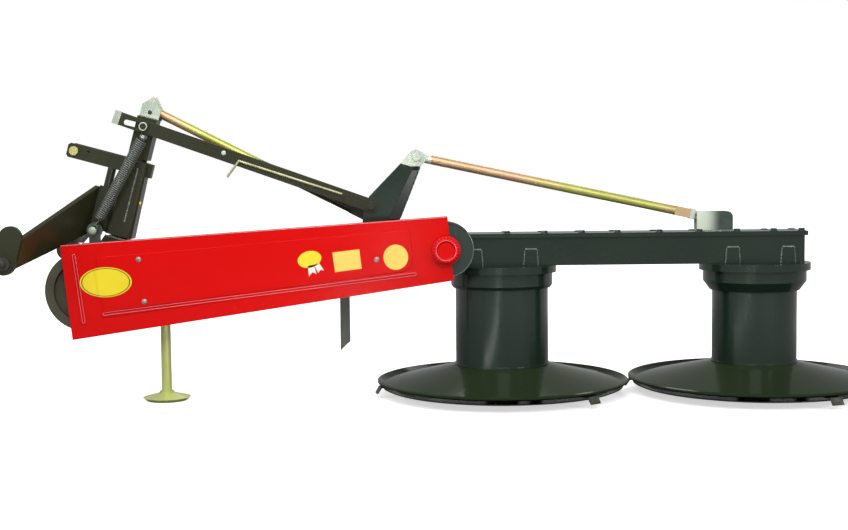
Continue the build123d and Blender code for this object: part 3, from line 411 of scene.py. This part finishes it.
def makeChanging(name):
    first, *later = changes[name]
    shader = Shader(name)
    along = shader.node("SeparateXYZ", {}, {"Vector": shader.place}, "X")
    cloud = shader.noise(*skinGrain["cloud"]).above(*skinGrain["cloudRange"])
    fine = shader.noise(*skinGrain["fine"])
    deep, light, metalBefore, roughBefore = skins[first]
    colour, metallic, roughness = shader.mix(cloud, deep, light), metalBefore, roughBefore
    for nextName, start, end in later:
        deep, light, metal, rough = skins[nextName]
        turned = along.above(start, end)
        colour = shader.mix(turned, colour, shader.mix(cloud, deep, light))
        metallic = metallic + turned * (metal - metalBefore)
        roughness = roughness + turned * (rough - roughBefore)
        metalBefore, roughBefore = metal, rough
    return shader.finish({
        "Base Color": colour,
        "Metallic": metallic,
        "Roughness": roughness + fine * skinGrain["roughnessSpread"],
        "Normal": shader.bump(fine, skinGrain["depth"]),
    })


# Rubber and cast iron

rubber = {
    "weave": (240.0, 2.0, 0.5),
    "wear": (18.0, 3.0),
    "tones": ((0.010, 0.010, 0.011), (0.028, 0.027, 0.026)),
    "roughness": 0.6,
    "roughnessSpread": 0.25,
    "depth": 0.0004,
}
castIron = {
    "grain": (180.0, 5.0, 0.7),
    "stain": (12.0, 3.0),
    "tones": ((0.034, 0.031, 0.018), (0.080, 0.072, 0.044)),
    "metallic": 0.3,
    "roughness": 0.45,
    "roughnessSpread": 0.25,
    "depth": 0.0006,
}


def makeRubber():
    shader = Shader("beltRubber")
    weave = shader.noise(*rubber["weave"])
    wear = shader.noise(*rubber["wear"])
    return shader.finish({
        "Base Color": shader.mix(wear, *rubber["tones"]),
        "Roughness": rubber["roughness"] + wear * rubber["roughnessSpread"],
        "Normal": shader.bump(weave, rubber["depth"]),
    })


def makeCastIron():
    shader = Shader("castIron")
    grain = shader.noise(*castIron["grain"])
    stain = shader.noise(*castIron["stain"])
    return shader.finish({
        "Base Color": shader.mix(stain, *castIron["tones"]),
        "Metallic": castIron["metallic"],
        "Roughness": castIron["roughness"] + grain * castIron["roughnessSpread"],
        "Normal": shader.bump(grain, castIron["depth"]),
    })


# Sticker inks

stickerInk = {
    "yellow": ((0.66, 0.52, 0.008), (0.74, 0.58, 0.018)),
    "amber": ((0.80, 0.48, 0.08), (0.86, 0.54, 0.11)),
    "pale": ((0.62, 0.60, 0.55), (0.72, 0.70, 0.66)),
    "dark": ((0.06, 0.055, 0.02), (0.09, 0.08, 0.03)),
}
stickerGrain = {
    "fade": (9.0, 3.0),
    "fine": (120.0, 2.0),
    "roughness": 0.28,
    "roughnessSpread": 0.12,
    "depth": 0.0001,
}


def makeSticker(name, tones):
    shader = Shader(name)
    fade = shader.noise(*stickerGrain["fade"])
    fine = shader.noise(*stickerGrain["fine"])
    return shader.finish({
        "Base Color": shader.mix(fade, *tones),
        "Roughness": stickerGrain["roughness"] + fade * stickerGrain["roughnessSpread"],
        "Normal": shader.bump(fine, stickerGrain["depth"]),
    })


# Every finish under the name of its slot, or a name of its own

paintSlots = {
    "green_paint": "greenPaint",
    "fork_paint": "forkPaint",
    "disc_paint": "discPaint",
    "post_paint": "postPaint",
    "olive_paint": "olivePaint",
    "red_paint": "redPaint",
    "spring_steel": "springPaintWithHighlight",
    "skid_steel": "greenPaint",
    "weld": "weldPaintWithGlint",
    "edge_paint": "edgeHighlightPaint",
    "boss_paint": "bossPaintWithHighlight",
}
changingSlots = {
    "lock_rod_skin": "lockRodSkin",
    "pull_rod_skin": "pullRodSkin",
    "lug_skin": "lugZincAndGlareSkin",
}
finishes = {"belt_rubber": makeRubber(), "cast_iron": makeCastIron()}
for slot, paintName in paintSlots.items():
    finishes[slot] = makePaint(paintName)
for slot, platingRow in platings.items():
    finishes[slot] = makePlating(*platingRow)
for slot, skinName in changingSlots.items():
    finishes[slot] = makeChanging(skinName)
for inkName, inkTones in stickerInk.items():
    finishes[inkName] = makeSticker(inkName + "Sticker", inkTones)

# Nodes with a finish of their own within their slot's colour
ownFinish = {
    "disc_inner": "disc_paint",
    "disc_outer": "disc_paint",
    "pivot_fork": "fork_paint",
    "pulley_guard": "fork_paint",
    "guard_post": "post_paint",
    "stand_leg": "stand_zinc",
    "stand_foot": "stand_zinc",
    "hook_rod": "hook_zinc",
    "spring_bracket": "spring_steel",
    "link_pin_left": "dark_steel",
    "link_pin_right": "dark_steel",
    "lock_rod": "lock_rod_skin",
    "pull_rod": "pull_rod_skin",
    "rod_lug": "lug_skin",
}


def dressNodes():
    for row in frame["record"]["subparts"]:
        mesh = nodes[row["node"]].data
        mesh.materials.clear()
        mesh.materials.append(finishes[ownFinish.get(row["node"], row["material_slot"])])


dressNodes()
print("finishes made")

# Shape helpers, in metres and in the frame's own axes

frameSlots = {row["material_slot"] for row in frame["record"]["subparts"]}
# A closed wire ends a small share of a step, the loop's gap, short of its start
shaping = {
    "mergeDistance": 0.00001,
    "sharpAngle": 35,
    "wireSides": 8,
    "loopGap": 0.001,
}
forward = (0, -1, 0)
upward = (0, 0, 1)


def addPiece(name, shape, body, finish):
    # Tidies a mesh, makes it an object and lets it ride on a body
    bmesh.ops.remove_doubles(shape, verts=shape.verts, dist=shaping["mergeDistance"])
    bmesh.ops.recalc_face_normals(shape, faces=shape.faces)
    mesh = bpy.data.meshes.new(name)
    shape.to_mesh(mesh)
    shape.free()
    mesh.materials.append(finishes[finish])
    mesh.shade_smooth()
    mesh.set_sharp_from_angle(angle=radians(shaping["sharpAngle"]))
    made = bpy.data.objects.new(name, mesh)
    bpy.context.scene.collection.objects.link(made)
    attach(made, body)
    finish in frameSlots
    return made


def addPrism(shape, outline, yLow, yHigh):
    front = [shape.verts.new((x, yLow, z)) for x, z in outline]
    back = [shape.verts.new((x, yHigh, z)) for x, z in outline]
    shape.faces.new(front)
    shape.faces.new(back[::-1])
    for index in range(len(outline)):
        after = (index + 1) % len(outline)
        shape.faces.new((front[index], back[index], back[after], front[after]))


def addHead(shape, place, axis, radius, height, sides, rounding):
    # A bolt's head that stands on a surface at a place, looking along an axis. It is bevelled by
    # itself and then added, so that its faces come out the same each run
    turn = Vector(upward).rotation_difference(Vector(axis)).to_matrix().to_4x4()
    middle = Vector(place) + Vector(axis) * (height / 2)
    head = bmesh.new()
    bmesh.ops.create_cone(
        head, cap_ends=True, segments=sides, radius1=radius, radius2=radius, depth=height,
        matrix=Matrix.Translation(middle) @ turn,
    )
    rim = [
        edge for edge in head.edges
        if all((vert.co - middle).dot(Vector(axis)) > height / 4 for vert in edge.verts)
    ]
    bmesh.ops.bevel(
        head, geom=rim, offset=rounding, affect="EDGES", segments=2, profile=0.5, material=-1,
    )
    mesh = bpy.data.meshes.new("head")
    head.to_mesh(mesh)
    head.free()
    shape.from_mesh(mesh)
    bpy.data.meshes.remove(mesh)


def joinRings(shape, rings):
    for first, second in zip(rings, rings[1:]):
        for step in range(len(first)):
            after = (step + 1) % len(first)
            shape.faces.new((first[step], first[after], second[after], second[step]))


def addTube(shape, path, radii, sides=shaping["wireSides"]):
    # A round wire along a path
    rings = []
    normal = (path[1] - path[0]).orthogonal().normalized()
    for index, point in enumerate(path):
        before = path[max(index - 1, 0)]
        after = path[min(index + 1, len(path) - 1)]
        along = (after - before).normalized()
        normal = (normal - along * normal.dot(along)).normalized()
        side = along.cross(normal)
        ring = []
        for step in range(sides):
            angle = 2 * pi * step / sides
            reach = (normal * cos(angle) + side * sin(angle)) * radii[index]
            ring.append(shape.verts.new(point + reach))
        rings.append(ring)
    joinRings(shape, rings)
    shape.faces.new(rings[0][::-1])
    shape.faces.new(rings[-1])


def addLoop(shape, path, radius):
    # A round wire along a path and back to its start
    path = path + [path[0].lerp(path[-1], shaping["loopGap"])]
    addTube(shape, path, [radius] * len(path))


# The drive shaft, the bar's pivot, and the tower that leans over the shaft's axis
shaft = {"x": -1.28628, "z": 0.412}
pivot = {"x": -0.03128, "z": 0.543}
towerLean = radians(15.3)
towerSide = (cos(towerLean), 0, -sin(towerLean))


def towerPoint(across, depth, up):
    x = shaft["x"] + across * cos(towerLean) + up * sin(towerLean)
    return Vector((x, depth, shaft["z"] - across * sin(towerLean) + up * cos(towerLean)))


# Balance spring, a close wound coil with a hook at each end

spring = {
    "depth": -0.09,
    "topAcross": 0.0396,
    "topUp": 0.565,
    "boltRise": 0.204,
    "wire": 0.0034,
    "coilRadius": 0.0174,
    "bodyStart": 0.012,
    "bodyEnd": 0.047,
    "pitch": 0.0071,
    "stepsPerTurn": 18,
    "taperFrom": 4,
    "taperSteps": 12,
    "topHook": {"radius": 0.0098, "from": 45, "to": 333, "steps": 14},
    "lowHook": {"radius": 0.0101, "from": -81, "to": 261, "steps": 20, "length": 0.012},
}


def hookAngles(hook):
    turn, steps = hook["to"] - hook["from"], hook["steps"]
    return [radians(hook["from"] + turn * step / steps) for step in range(steps + 1)]


def makeSpring():
    top = towerPoint(spring["topAcross"], spring["depth"], spring["topUp"])
    low = Vector((shaft["x"], spring["depth"], shaft["z"] + spring["boltRise"]))
    topHook, lowHook = spring["topHook"], spring["lowHook"]
    along = (low - top).normalized()
    depth = Vector((0, 1, 0))
    across = along.cross(depth).normalized()
    path = []
    for angle in hookAngles(topHook):
        path.append(top - (across * sin(angle) + along * cos(angle)) * topHook["radius"])
    length = (low - top).length - spring["bodyStart"] - spring["bodyEnd"]
    steps = int(length / spring["pitch"] * spring["stepsPerTurn"])
    start = top + along * spring["bodyStart"]
    for step in range(steps + 1):
        angle = 2 * pi * step / spring["stepsPerTurn"]
        nearEnd = (min(step, steps - step) + spring["taperFrom"]) / spring["taperSteps"]
        spread = spring["coilRadius"] * min(1.0, nearEnd)
        reach = (across * cos(angle) + depth * sin(angle)) * spread
        path.append(start + along * (length * step / steps) + reach)
    hookStart = low - along * lowHook["length"]
    for angle in hookAngles(lowHook):
        ring = (along * cos(angle) + across * sin(angle)) * lowHook["radius"]
        stretch = along * (lowHook["length"] * (1 + cos(angle)) / 2)
        path.append(hookStart + stretch + ring)
    shape = bmesh.new()
    addTube(shape, path, [spring["wire"]] * len(path))
    piece = addPiece("balanceSpring", shape, "spring_link", "spring_steel")
    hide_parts("balance_spring")


makeSpring()
print("spring made")

# Bolts of the lid, in two rows. Columns of the rows: place across the lid, head height, sides
lidBolts = {
    "xs": (0.1907, 0.3247, 0.4587, 0.5863, 0.7364, 0.8794, 1.0138, 1.1454, 1.2455),
    "rows": ((-0.068, 0.0095, 6), (0.068, 0.0028, 20)),
    "z": 0.589,
    "radius": 0.0115,
    "rounding": 0.001,
    "washer": (0.014375, 0.0015, 24, 0.0004),
}


def makeLidBolts():
    shape = bmesh.new()
    for x in lidBolts["xs"]:
        for y, height, sides in lidBolts["rows"]:
            place = (x, y, lidBolts["z"])
            addHead(shape, place, upward, *lidBolts["washer"])
            addHead(shape, place, upward, lidBolts["radius"], height, sides, lidBolts["rounding"])
    addPiece("lidBolts", shape, "cutter_bar", "green_paint")


makeLidBolts()

# Screws of the cover, nut of the spring's bracket, rivet of the strut, bolt of the tower's cap and
# amber button on the hitch's side. Columns: place, axis, head radius, head height, sides, body,
# finish
headTable = {
    "coverScrewTop": (
        (-1.0923, -0.256, 0.5215), forward, 0.0062, 0.005, 20, "carrier", "bright_steel",
    ),
    "coverScrewLow": (
        (-1.0752, -0.256, 0.3755), forward, 0.0062, 0.005, 20, "carrier", "bright_steel",
    ),
    "coverScrewOuter": (
        (-0.2709, -0.256, 0.5125), forward, 0.0062, 0.005, 20, "carrier", "bright_steel",
    ),
    "flangeScrew": ((-1.2952, -0.232, 0.5762), upward, 0.008, 0.005, 20, "carrier", "galvanised"),
    "springNut": ((shaft["x"], -0.102, 0.616), forward, 0.0125, 0.007, 6, "carrier", "galvanised"),
    "strutRivet": ((-0.8193, -0.062, 0.8873), forward, 0.0085, 0.003, 20, "carrier", "galvanised"),
    "capBolt": (
        towerPoint(0.03, -0.0318, 0.655), forward, 0.008, 0.005, 6, "tower", "olive_paint",
    ),
    "towerDot": (
        towerPoint(0.070, -0.026, 0.328), towerSide, 0.0075, 0.0065, 16, "hitch", "amber",
    ),
}
roundingShare = 0.35
# Columns: the head that it lies under, radius
washerTable = {
    "coverWasherTop": ("coverScrewTop", 0.0092),
    "coverWasherLow": ("coverScrewLow", 0.0092),
    "coverWasherOuter": ("coverScrewOuter", 0.0092),
    "springWasher": ("springNut", 0.0145),
}
washer = {"height": 0.0018, "sides": 28, "rounding": 0.0005}


def makeHeads():
    for name, (place, axis, radius, height, sides, body, finish) in headTable.items():
        shape = bmesh.new()
        addHead(shape, place, axis, radius, height, sides, min(radius, height) * roundingShare)
        addPiece(name, shape, body, finish)
    for name, (head, radius) in washerTable.items():
        place, axis, *_, body, finish = headTable[head]
        shape = bmesh.new()
        addHead(shape, place, axis, radius, *washer.values())
        addPiece(name, shape, body, finish)


makeHeads()
print("bolts made")

# Blank stickers on the cover. Columns: middle x and z, half width, half height, tilt in degrees,
# corners, finish
stickerTable = {
    "ovalSticker": (-1.2074, 0.4442, 0.0905, 0.052, 1.5, 64, "yellow"),
    "rosetteSticker": (-0.5025, 0.516, 0.0415, 0.0285, 14.0, 48, "yellow"),
    "roundSticker": (-0.2050, 0.5205, 0.0425, 0.0435, 0.0, 48, "amber"),
}
# Columns: finish, outlines
cutStickers = {
    "squareSticker": ("amber", [
        [(-0.4235, 0.5388), (-0.3305, 0.5492), (-0.3230, 0.4822), (-0.4150, 0.4708)],
    ]),
    "rosetteTails": ("pale", [
        [
            (-0.5085, 0.493), (-0.4875, 0.497), (-0.4795, 0.4655), (-0.4925, 0.4715),
            (-0.5055, 0.457),
        ],
        [
            (-0.4875, 0.497), (-0.4695, 0.503), (-0.4525, 0.477), (-0.4655, 0.479),
            (-0.4735, 0.4685),
        ],
    ]),
}
cover = {
    "face": -0.252,
    "panelFace": -0.256,
    "panelEdgeTop": (-1.2367, 0.5288),
    "panelEdgeLow": (-1.2174, 0.341),
    "lift": 0.0005,
    "rings": 12,
    "lineShares": (0.9, 0.94),
    "edgeRoom": 0.009,
    "edgeStep": 0.006,
}


def coverDepth(x, z, lift):
    # How far forward a sticker lies where it passes from the cover to its raised panel
    topX, topZ = cover["panelEdgeTop"]
    lowX, lowZ = cover["panelEdgeLow"]
    edgeX = lowX + (topX - lowX) * (z - lowZ) / (topZ - lowZ)
    share = min(1.0, max(0.0, 1 + (x - edgeX + cover["edgeRoom"]) / cover["edgeStep"]))
    return cover["face"] + (cover["panelFace"] - cover["face"]) * share - lift


def addOval(shape, row, shares, lift):
    middleX, middleZ, halfWidth, halfHeight, tilt, sides, _ = row
    turnCos, turnSin = cos(radians(tilt)), sin(radians(tilt))
    rings = []
    for share in shares:
        ring = []
        for step in range(sides):
            angle = 2 * pi * step / sides
            across = halfWidth * share * cos(angle)
            up = halfHeight * share * sin(angle)
            x = middleX + across * turnCos - up * turnSin
            z = middleZ + across * turnSin + up * turnCos
            ring.append(shape.verts.new((x, coverDepth(x, z, lift), z)))
        rings.append(ring)
    joinRings(shape, rings)
    return rings


def makeStickers():
    shares = [(step + 1) / cover["rings"] for step in range(cover["rings"])]
    for name, row in stickerTable.items():
        shape = bmesh.new()
        rings = addOval(shape, row, shares, cover["lift"])
        shape.faces.new(rings[0])
        addPiece(name, shape, "carrier", row[-1])
    shape = bmesh.new()
    addOval(shape, stickerTable["ovalSticker"], cover["lineShares"], cover["lift"] * 2)
    addPiece("ovalStickerLine", shape, "carrier", "dark")
    face = cover["panelFace"]
    for name, (finish, outlines) in cutStickers.items():
        shape = bmesh.new()
        for outline in outlines:
            addPrism(shape, outline, face - cover["lift"], face)
        addPiece(name, shape, "carrier", finish)


makeStickers()

# Fine beads round the cover's ribs and along its top edge, in pale pink paint that draws painted
# highlight
# lines on them. Columns: start, end, half width, depth
ribHighlightBeads = {
    "rows": {
        "longRibHighlightBead": ((-1.2147, 0.3338), (-0.1394, 0.4611), 0.0045, -0.2551),
        "shortRibHighlightBead": ((-1.2868, 0.3075), (-1.3152, 0.5375), 0.0045, -0.2551),
        "topEdgeHighlightBead": ((-1.3605, 0.5708), (-0.0270, 0.6566), 0.0004, -0.2518),
    },
    "radius": 0.0011,
    "turnSteps": 8,
}


def makeRibHighlightBeads():
    for name, (start, end, halfWidth, depth) in ribHighlightBeads["rows"].items():
        start, end = Vector(start), Vector(end)
        along = (end - start).normalized()
        path = []
        for middle, turn in ((start, pi / 2), (end, -pi / 2)):
            for step in range(ribHighlightBeads["turnSteps"] + 1):
                angle = turn + pi * step / ribHighlightBeads["turnSteps"]
                reach = Vector((
                    along.x * cos(angle) - along.y * sin(angle),
                    along.y * cos(angle) + along.x * sin(angle),
                ))
                x, z = middle + reach * halfWidth
                path.append(Vector((x, depth, z)))
        shape = bmesh.new()
        addLoop(shape, path, ribHighlightBeads["radius"])
        addPiece(name, shape, "carrier", "edge_paint")


makeRibHighlightBeads()

# Ridges round the cover's boss, in a lighter pinkish red that paints their highlight, and a pale
# pink ring on its face that paints a highlight line. Columns of the profile: reach from the middle,
# depth behind the face
boss = {
    "face": -0.285,
    "profile": ((0.035, 0.0005), (0.0385, 0), (0.0475, 0.0085), (0.0475, 0.02)),
    "count": 24,
    "radius": 0.0021,
    "sides": 6,
    "ringTurn": 0.0345,
    "ringRadius": 0.0012,
    "ringSteps": 40,
}


def roundPivot(reach, depth, angle):
    return Vector((pivot["x"] + reach * cos(angle), depth, pivot["z"] + reach * sin(angle)))


def makeBossRidges():
    shape = bmesh.new()
    for step in range(boss["count"]):
        angle = 2 * pi * step / boss["count"]
        path = []
        for reach, behind in boss["profile"]:
            path.append(roundPivot(reach, boss["face"] + behind, angle))
        addTube(shape, path, [boss["radius"]] * len(path), boss["sides"])
    addPiece("bossRidges", shape, "carrier", "boss_paint")


def makeBossHighlightRing():
    path = []
    for step in range(boss["ringSteps"]):
        path.append(roundPivot(boss["ringTurn"], boss["face"], 2 * pi * step / boss["ringSteps"]))
    shape = bmesh.new()
    addLoop(shape, path, boss["ringRadius"])
    addPiece("bossHighlightRing", shape, "carrier", "edge_paint")


makeBossRidges()
makeBossHighlightRing()
print("cover dressed")

# Pale plated pieces: the upright's top and the strut's end

upright = {
    "outline": [
        (-0.0842, 0.8675), (-0.1315, 0.8945), (-0.1483, 0.8892), (-0.1817, 0.8525),
        (-0.1895, 0.8435), (-0.150, 0.8325), (-0.1165, 0.8325),
    ],
    "rearOutline": [
        (-0.0842, 0.8675), (-0.1315, 0.8945), (-0.1483, 0.8892), (-0.1817, 0.8525),
        (-0.1955, 0.838), (-0.117, 0.838),
    ],
    "faces": (0.0428, 0.0532),
}
strut = {
    "start": (-0.29528, 0.694),
    "slide": (-1.1028, 0.9839),
    "endReach": 0.1128,
    "endLength": 0.024,
    "halfWidth": 0.0243,
    "faces": (-0.063, -0.051),
}


def makePlatedEnds():
    low, high = upright["faces"]
    shape = bmesh.new()
    addPrism(shape, upright["outline"], -high, -low)
    addPrism(shape, upright["rearOutline"], low, high)
    addPiece("uprightTops", shape, "carrier", "galvanised")
    start = Vector(strut["start"])
    slide = Vector(strut["slide"])
    along = (slide - start).normalized()
    side = Vector((-along.y, along.x))
    tip = slide + along * strut["endReach"]
    root = tip - along * strut["endLength"]
    half = strut["halfWidth"]
    corners = [root - side * half, tip - side * half, tip + side * half, root + side * half]
    shape = bmesh.new()
    addPrism(shape, [tuple(corner) for corner in corners], *strut["faces"])
    addPiece("strutEnd", shape, "carrier", "galvanised")


makePlatedEnds()

# Pale ring on the slide bolt

slideRing = {
    "across": 0.026,
    "depth": -0.074,
    "up": 0.6,
    "radius": 0.0133,
    "wire": 0.0024,
    "steps": 32,
}


def makeSlideRing():
    middle = towerPoint(slideRing["across"], slideRing["depth"], slideRing["up"])
    shape = bmesh.new()
    ring = []
    for step in range(slideRing["steps"] + 1):
        angle = 2 * pi * step / slideRing["steps"]
        reach = Vector((cos(angle), 0, sin(angle))) * slideRing["radius"]
        ring.append(middle + reach)
    addTube(shape, ring, [slideRing["wire"]] * len(ring))
    addPiece("slideRing", shape, "tower", "galvanised")


makeSlideRing()
print("plated ends made")

# Weld beads, in a paler green that paints their glints. The upright's edge bead lies where a
# highlight line runs along that edge, as a painted highlight. Columns: body, radius, start, end
welds = {
    "sleeveSeam": (
        "hitch", 0.0034, towerPoint(0.038, -0.0425, 0.45), towerPoint(0.038, -0.0485, 0.25),
    ),
    "earSeam": (
        "hitch", 0.003, towerPoint(-0.0155, -0.036, 0.428), towerPoint(-0.0155, -0.036, 0.472),
    ),
    "lugSeam": ("cutter_bar", 0.0035, (0.880, -0.0285, 0.5895), (1.008, -0.0285, 0.5895)),
    "capSeam": (
        "tower", 0.003, towerPoint(-0.004, -0.0335, 0.6345), towerPoint(0.062, -0.0335, 0.6345),
    ),
    "footSeam": (
        "tower", 0.0035, towerPoint(-0.019, -0.0405, 0.1865), towerPoint(0.071, -0.0405, 0.1865),
    ),
    "uprightSeam": ("carrier", 0.004, (-0.322, -0.0345, 0.5555), (-0.245, -0.0345, 0.5635)),
    "uprightEdgeHighlightBead": ("carrier", 0.0026, (-0.1195, 0.0428, 0.829), (-0.1925, 0.0428, 0.6445)),
    "sleeveWeld": ("carrier", 0.004, (-1.0645, -0.0335, 0.482), (-1.0185, -0.0335, 0.4865)),
}
bead = {
    "step": 0.9,
    "fewest": 4,
    "sides": 7,
    "ripple": 0.22,
    "rippleTurn": 2.1,
    "drift": 0.12,
    "driftTurn": 0.73,
    "driftStart": 1.3,
}
tabWeld = {
    "middles": (0.0767, 0.2747, 0.9967, 1.1947),
    "low": 0.475,
    "high": 0.532,
    "halfWidth": 0.0225,
    "lean": 0.002,
    "depth": -0.0808,
    "radius": 0.0042,
}
# A pale weld bead only along the right arc of the guard disc's rim, where the rim shows glints: a
# weld and a painted highlight
guardSeamWithHighlight = {
    "reach": 0.0945,
    "depth": -0.2462,
    "from": 40,
    "to": -82,
    "steps": 46,
    "radius": 0.0019,
}


def beadRadii(count, radius):
    # Uneven ripples of a hand laid bead
    radii = []
    for index in range(count):
        ripple = bead["ripple"] * sin(index * bead["rippleTurn"])
        drift = bead["drift"] * sin(index * bead["driftTurn"] + bead["driftStart"])
        radii.append(radius * (1 + ripple + drift))
    return radii


def addBead(shape, start, end, radius):
    count = max(bead["fewest"], int((end - start).length / (radius * bead["step"])))
    path = [start.lerp(end, step / count) for step in range(count + 1)]
    addTube(shape, path, beadRadii(len(path), radius), bead["sides"])


def makeWelds():
    for name, (body, radius, start, end) in welds.items():
        shape = bmesh.new()
        addBead(shape, Vector(start), Vector(end), radius)
        addPiece(name, shape, body, "weld")


def makeTabWelds():
    # Three beads round each tab under the bar: up, across and down
    halfLow = tabWeld["halfWidth"] + tabWeld["lean"]
    halfHigh = tabWeld["halfWidth"] - tabWeld["lean"]
    shape = bmesh.new()
    for middle in tabWeld["middles"]:
        points = [
            Vector((middle - halfLow, tabWeld["depth"], tabWeld["low"])),
            Vector((middle - halfHigh, tabWeld["depth"], tabWeld["high"])),
            Vector((middle + halfHigh, tabWeld["depth"], tabWeld["high"])),
            Vector((middle + halfLow, tabWeld["depth"], tabWeld["low"])),
        ]
        for start, end in zip(points, points[1:]):
            addBead(shape, start, end, tabWeld["radius"])
    addPiece("tabWelds", shape, "cutter_bar", "weld")


def makeGuardSeamWithHighlight():
    turn = guardSeamWithHighlight["to"] - guardSeamWithHighlight["from"]
    path = []
    for step in range(guardSeamWithHighlight["steps"] + 1):
        angle = radians(guardSeamWithHighlight["from"] + turn * step / guardSeamWithHighlight["steps"])
        path.append(roundPivot(guardSeamWithHighlight["reach"], guardSeamWithHighlight["depth"], angle))
    shape = bmesh.new()
    addTube(shape, path, beadRadii(len(path), guardSeamWithHighlight["radius"]), bead["sides"])
    addPiece("guardSeamWithHighlight", shape, "carrier", "weld")


makeWelds()
makeTabWelds()
makeGuardSeamWithHighlight()
print("welds made")

# Floor and light

studio = {
    "floorSize": 60.0,
    "floorSeen": 0.95,
    "floorBounce": 0.26,
    "floorRoughness": 0.95,
    "nearGlow": 0.6,
    "farGlow": 1.0,
    "nearReach": 1.9,
    "farReach": 3.4,
    "mirrorGlow": 0.3,
    "worldStrength": 0.42,
    "seenStrength": 1.0,
}
# Columns: place, aim, width and height, power
lamps = {
    "keyLamp": ((-0.9, -2.2, 3.9), (-0.1, 0, 0.4), (3.6, 2.4), 110.0),
    "frontLamp": ((0.2, -5.6, 3.4), (0, 0, 0.4), (3.4, 1.6), 150.0),
    "leftLamp": ((-3.6, -2.6, 2.0), (-1.2, 0, 0.6), (1.2, 1.4), 30.0),
    "rightLamp": ((3.4, -3.4, 1.7), (-0.9, 0, 0.6), (0.9, 1.4), 62.0),
    "streakStrip": ((-0.5, -2.45, 0.012), (-0.5, -2.45, 1.0), (0.11, 3.5), 12.0),
    "lowCard": ((-0.3, -5.35, 0.27), (-0.3, 0, 0.4), (0.22, 0.45), 1.0),
    "backLamp": ((0.6, 3.6, 3.6), (0, 0, 0.5), (3.0, 1.2), 55.0),
}


def grey(level):
    return (level, level, level)


def makeFloorPaint():
    # The floor glows white to the eye far out, and less near the machine, where it shows its shadow
    shader = Shader("floorPaint")
    seen = shader.node("LightPath", {}, {}, "Is Camera Ray")
    glossy = shader.node("LightPath", {}, {}, "Is Glossy Ray")
    through = shader.node("LightPath", {}, {}, "Is Transmission Ray")
    mirrored = glossy.maths("MAXIMUM", through)
    reach = shader.node("VectorMath", {"operation": "LENGTH"}, {0: shader.place}, "Value")
    spread = reach.above(studio["nearReach"], studio["farReach"])
    level = studio["nearGlow"] + spread * (studio["farGlow"] - studio["nearGlow"])
    glow = seen * level + mirrored * spread * studio["mirrorGlow"]
    return shader.finish({
        "Base Color": shader.mix(seen, grey(studio["floorBounce"]), grey(studio["floorSeen"])),
        "Roughness": studio["floorRoughness"],
        "Specular IOR Level": 0.0,
        "Emission Color": shader.mix(glow, grey(0), grey(1)),
        "Emission Strength": 1.0,
    })


def makeFloor():
    shape = bmesh.new()
    bmesh.ops.create_grid(shape, x_segments=1, y_segments=1, size=studio["floorSize"] / 2)
    mesh = bpy.data.meshes.new("floor")
    shape.to_mesh(mesh)
    shape.free()
    mesh.materials.append(makeFloorPaint())
    floor = bpy.data.objects.new("floor", mesh)
    bpy.context.scene.collection.objects.link(floor)


def makeLamp(name, place, aim, size, power):
    data = bpy.data.lights.new(name, "AREA")
    data.shape = "RECTANGLE"
    data.size, data.size_y = size
    data.energy = power
    lamp = bpy.data.objects.new(name, data)
    lamp.location = place
    lamp.visible_camera = False
    lamp.rotation_euler = (Vector(aim) - Vector(place)).to_track_quat("-Z", "Y").to_euler()
    bpy.context.scene.collection.objects.link(lamp)


def makeWorld():
    world = bpy.data.worlds.new("studio")
    shader = Shader("studio", world)
    seen = shader.node("LightPath", {}, {}, "Is Camera Ray")
    tone = shader.mix(seen, grey(studio["worldStrength"]), grey(studio["seenStrength"]))
    surface = shader.node("Background", {}, {"Color": tone})
    out = shader.tree.nodes.new("ShaderNodeOutputWorld")
    shader.tree.links.new(surface.socket, out.inputs["Surface"])
    bpy.context.scene.world = world


makeFloor()
for lampName, lampRow in lamps.items():
    makeLamp(lampName, *lampRow)
makeWorld()
bpy.context.scene.view_settings.view_transform = "Standard"
print("studio made")
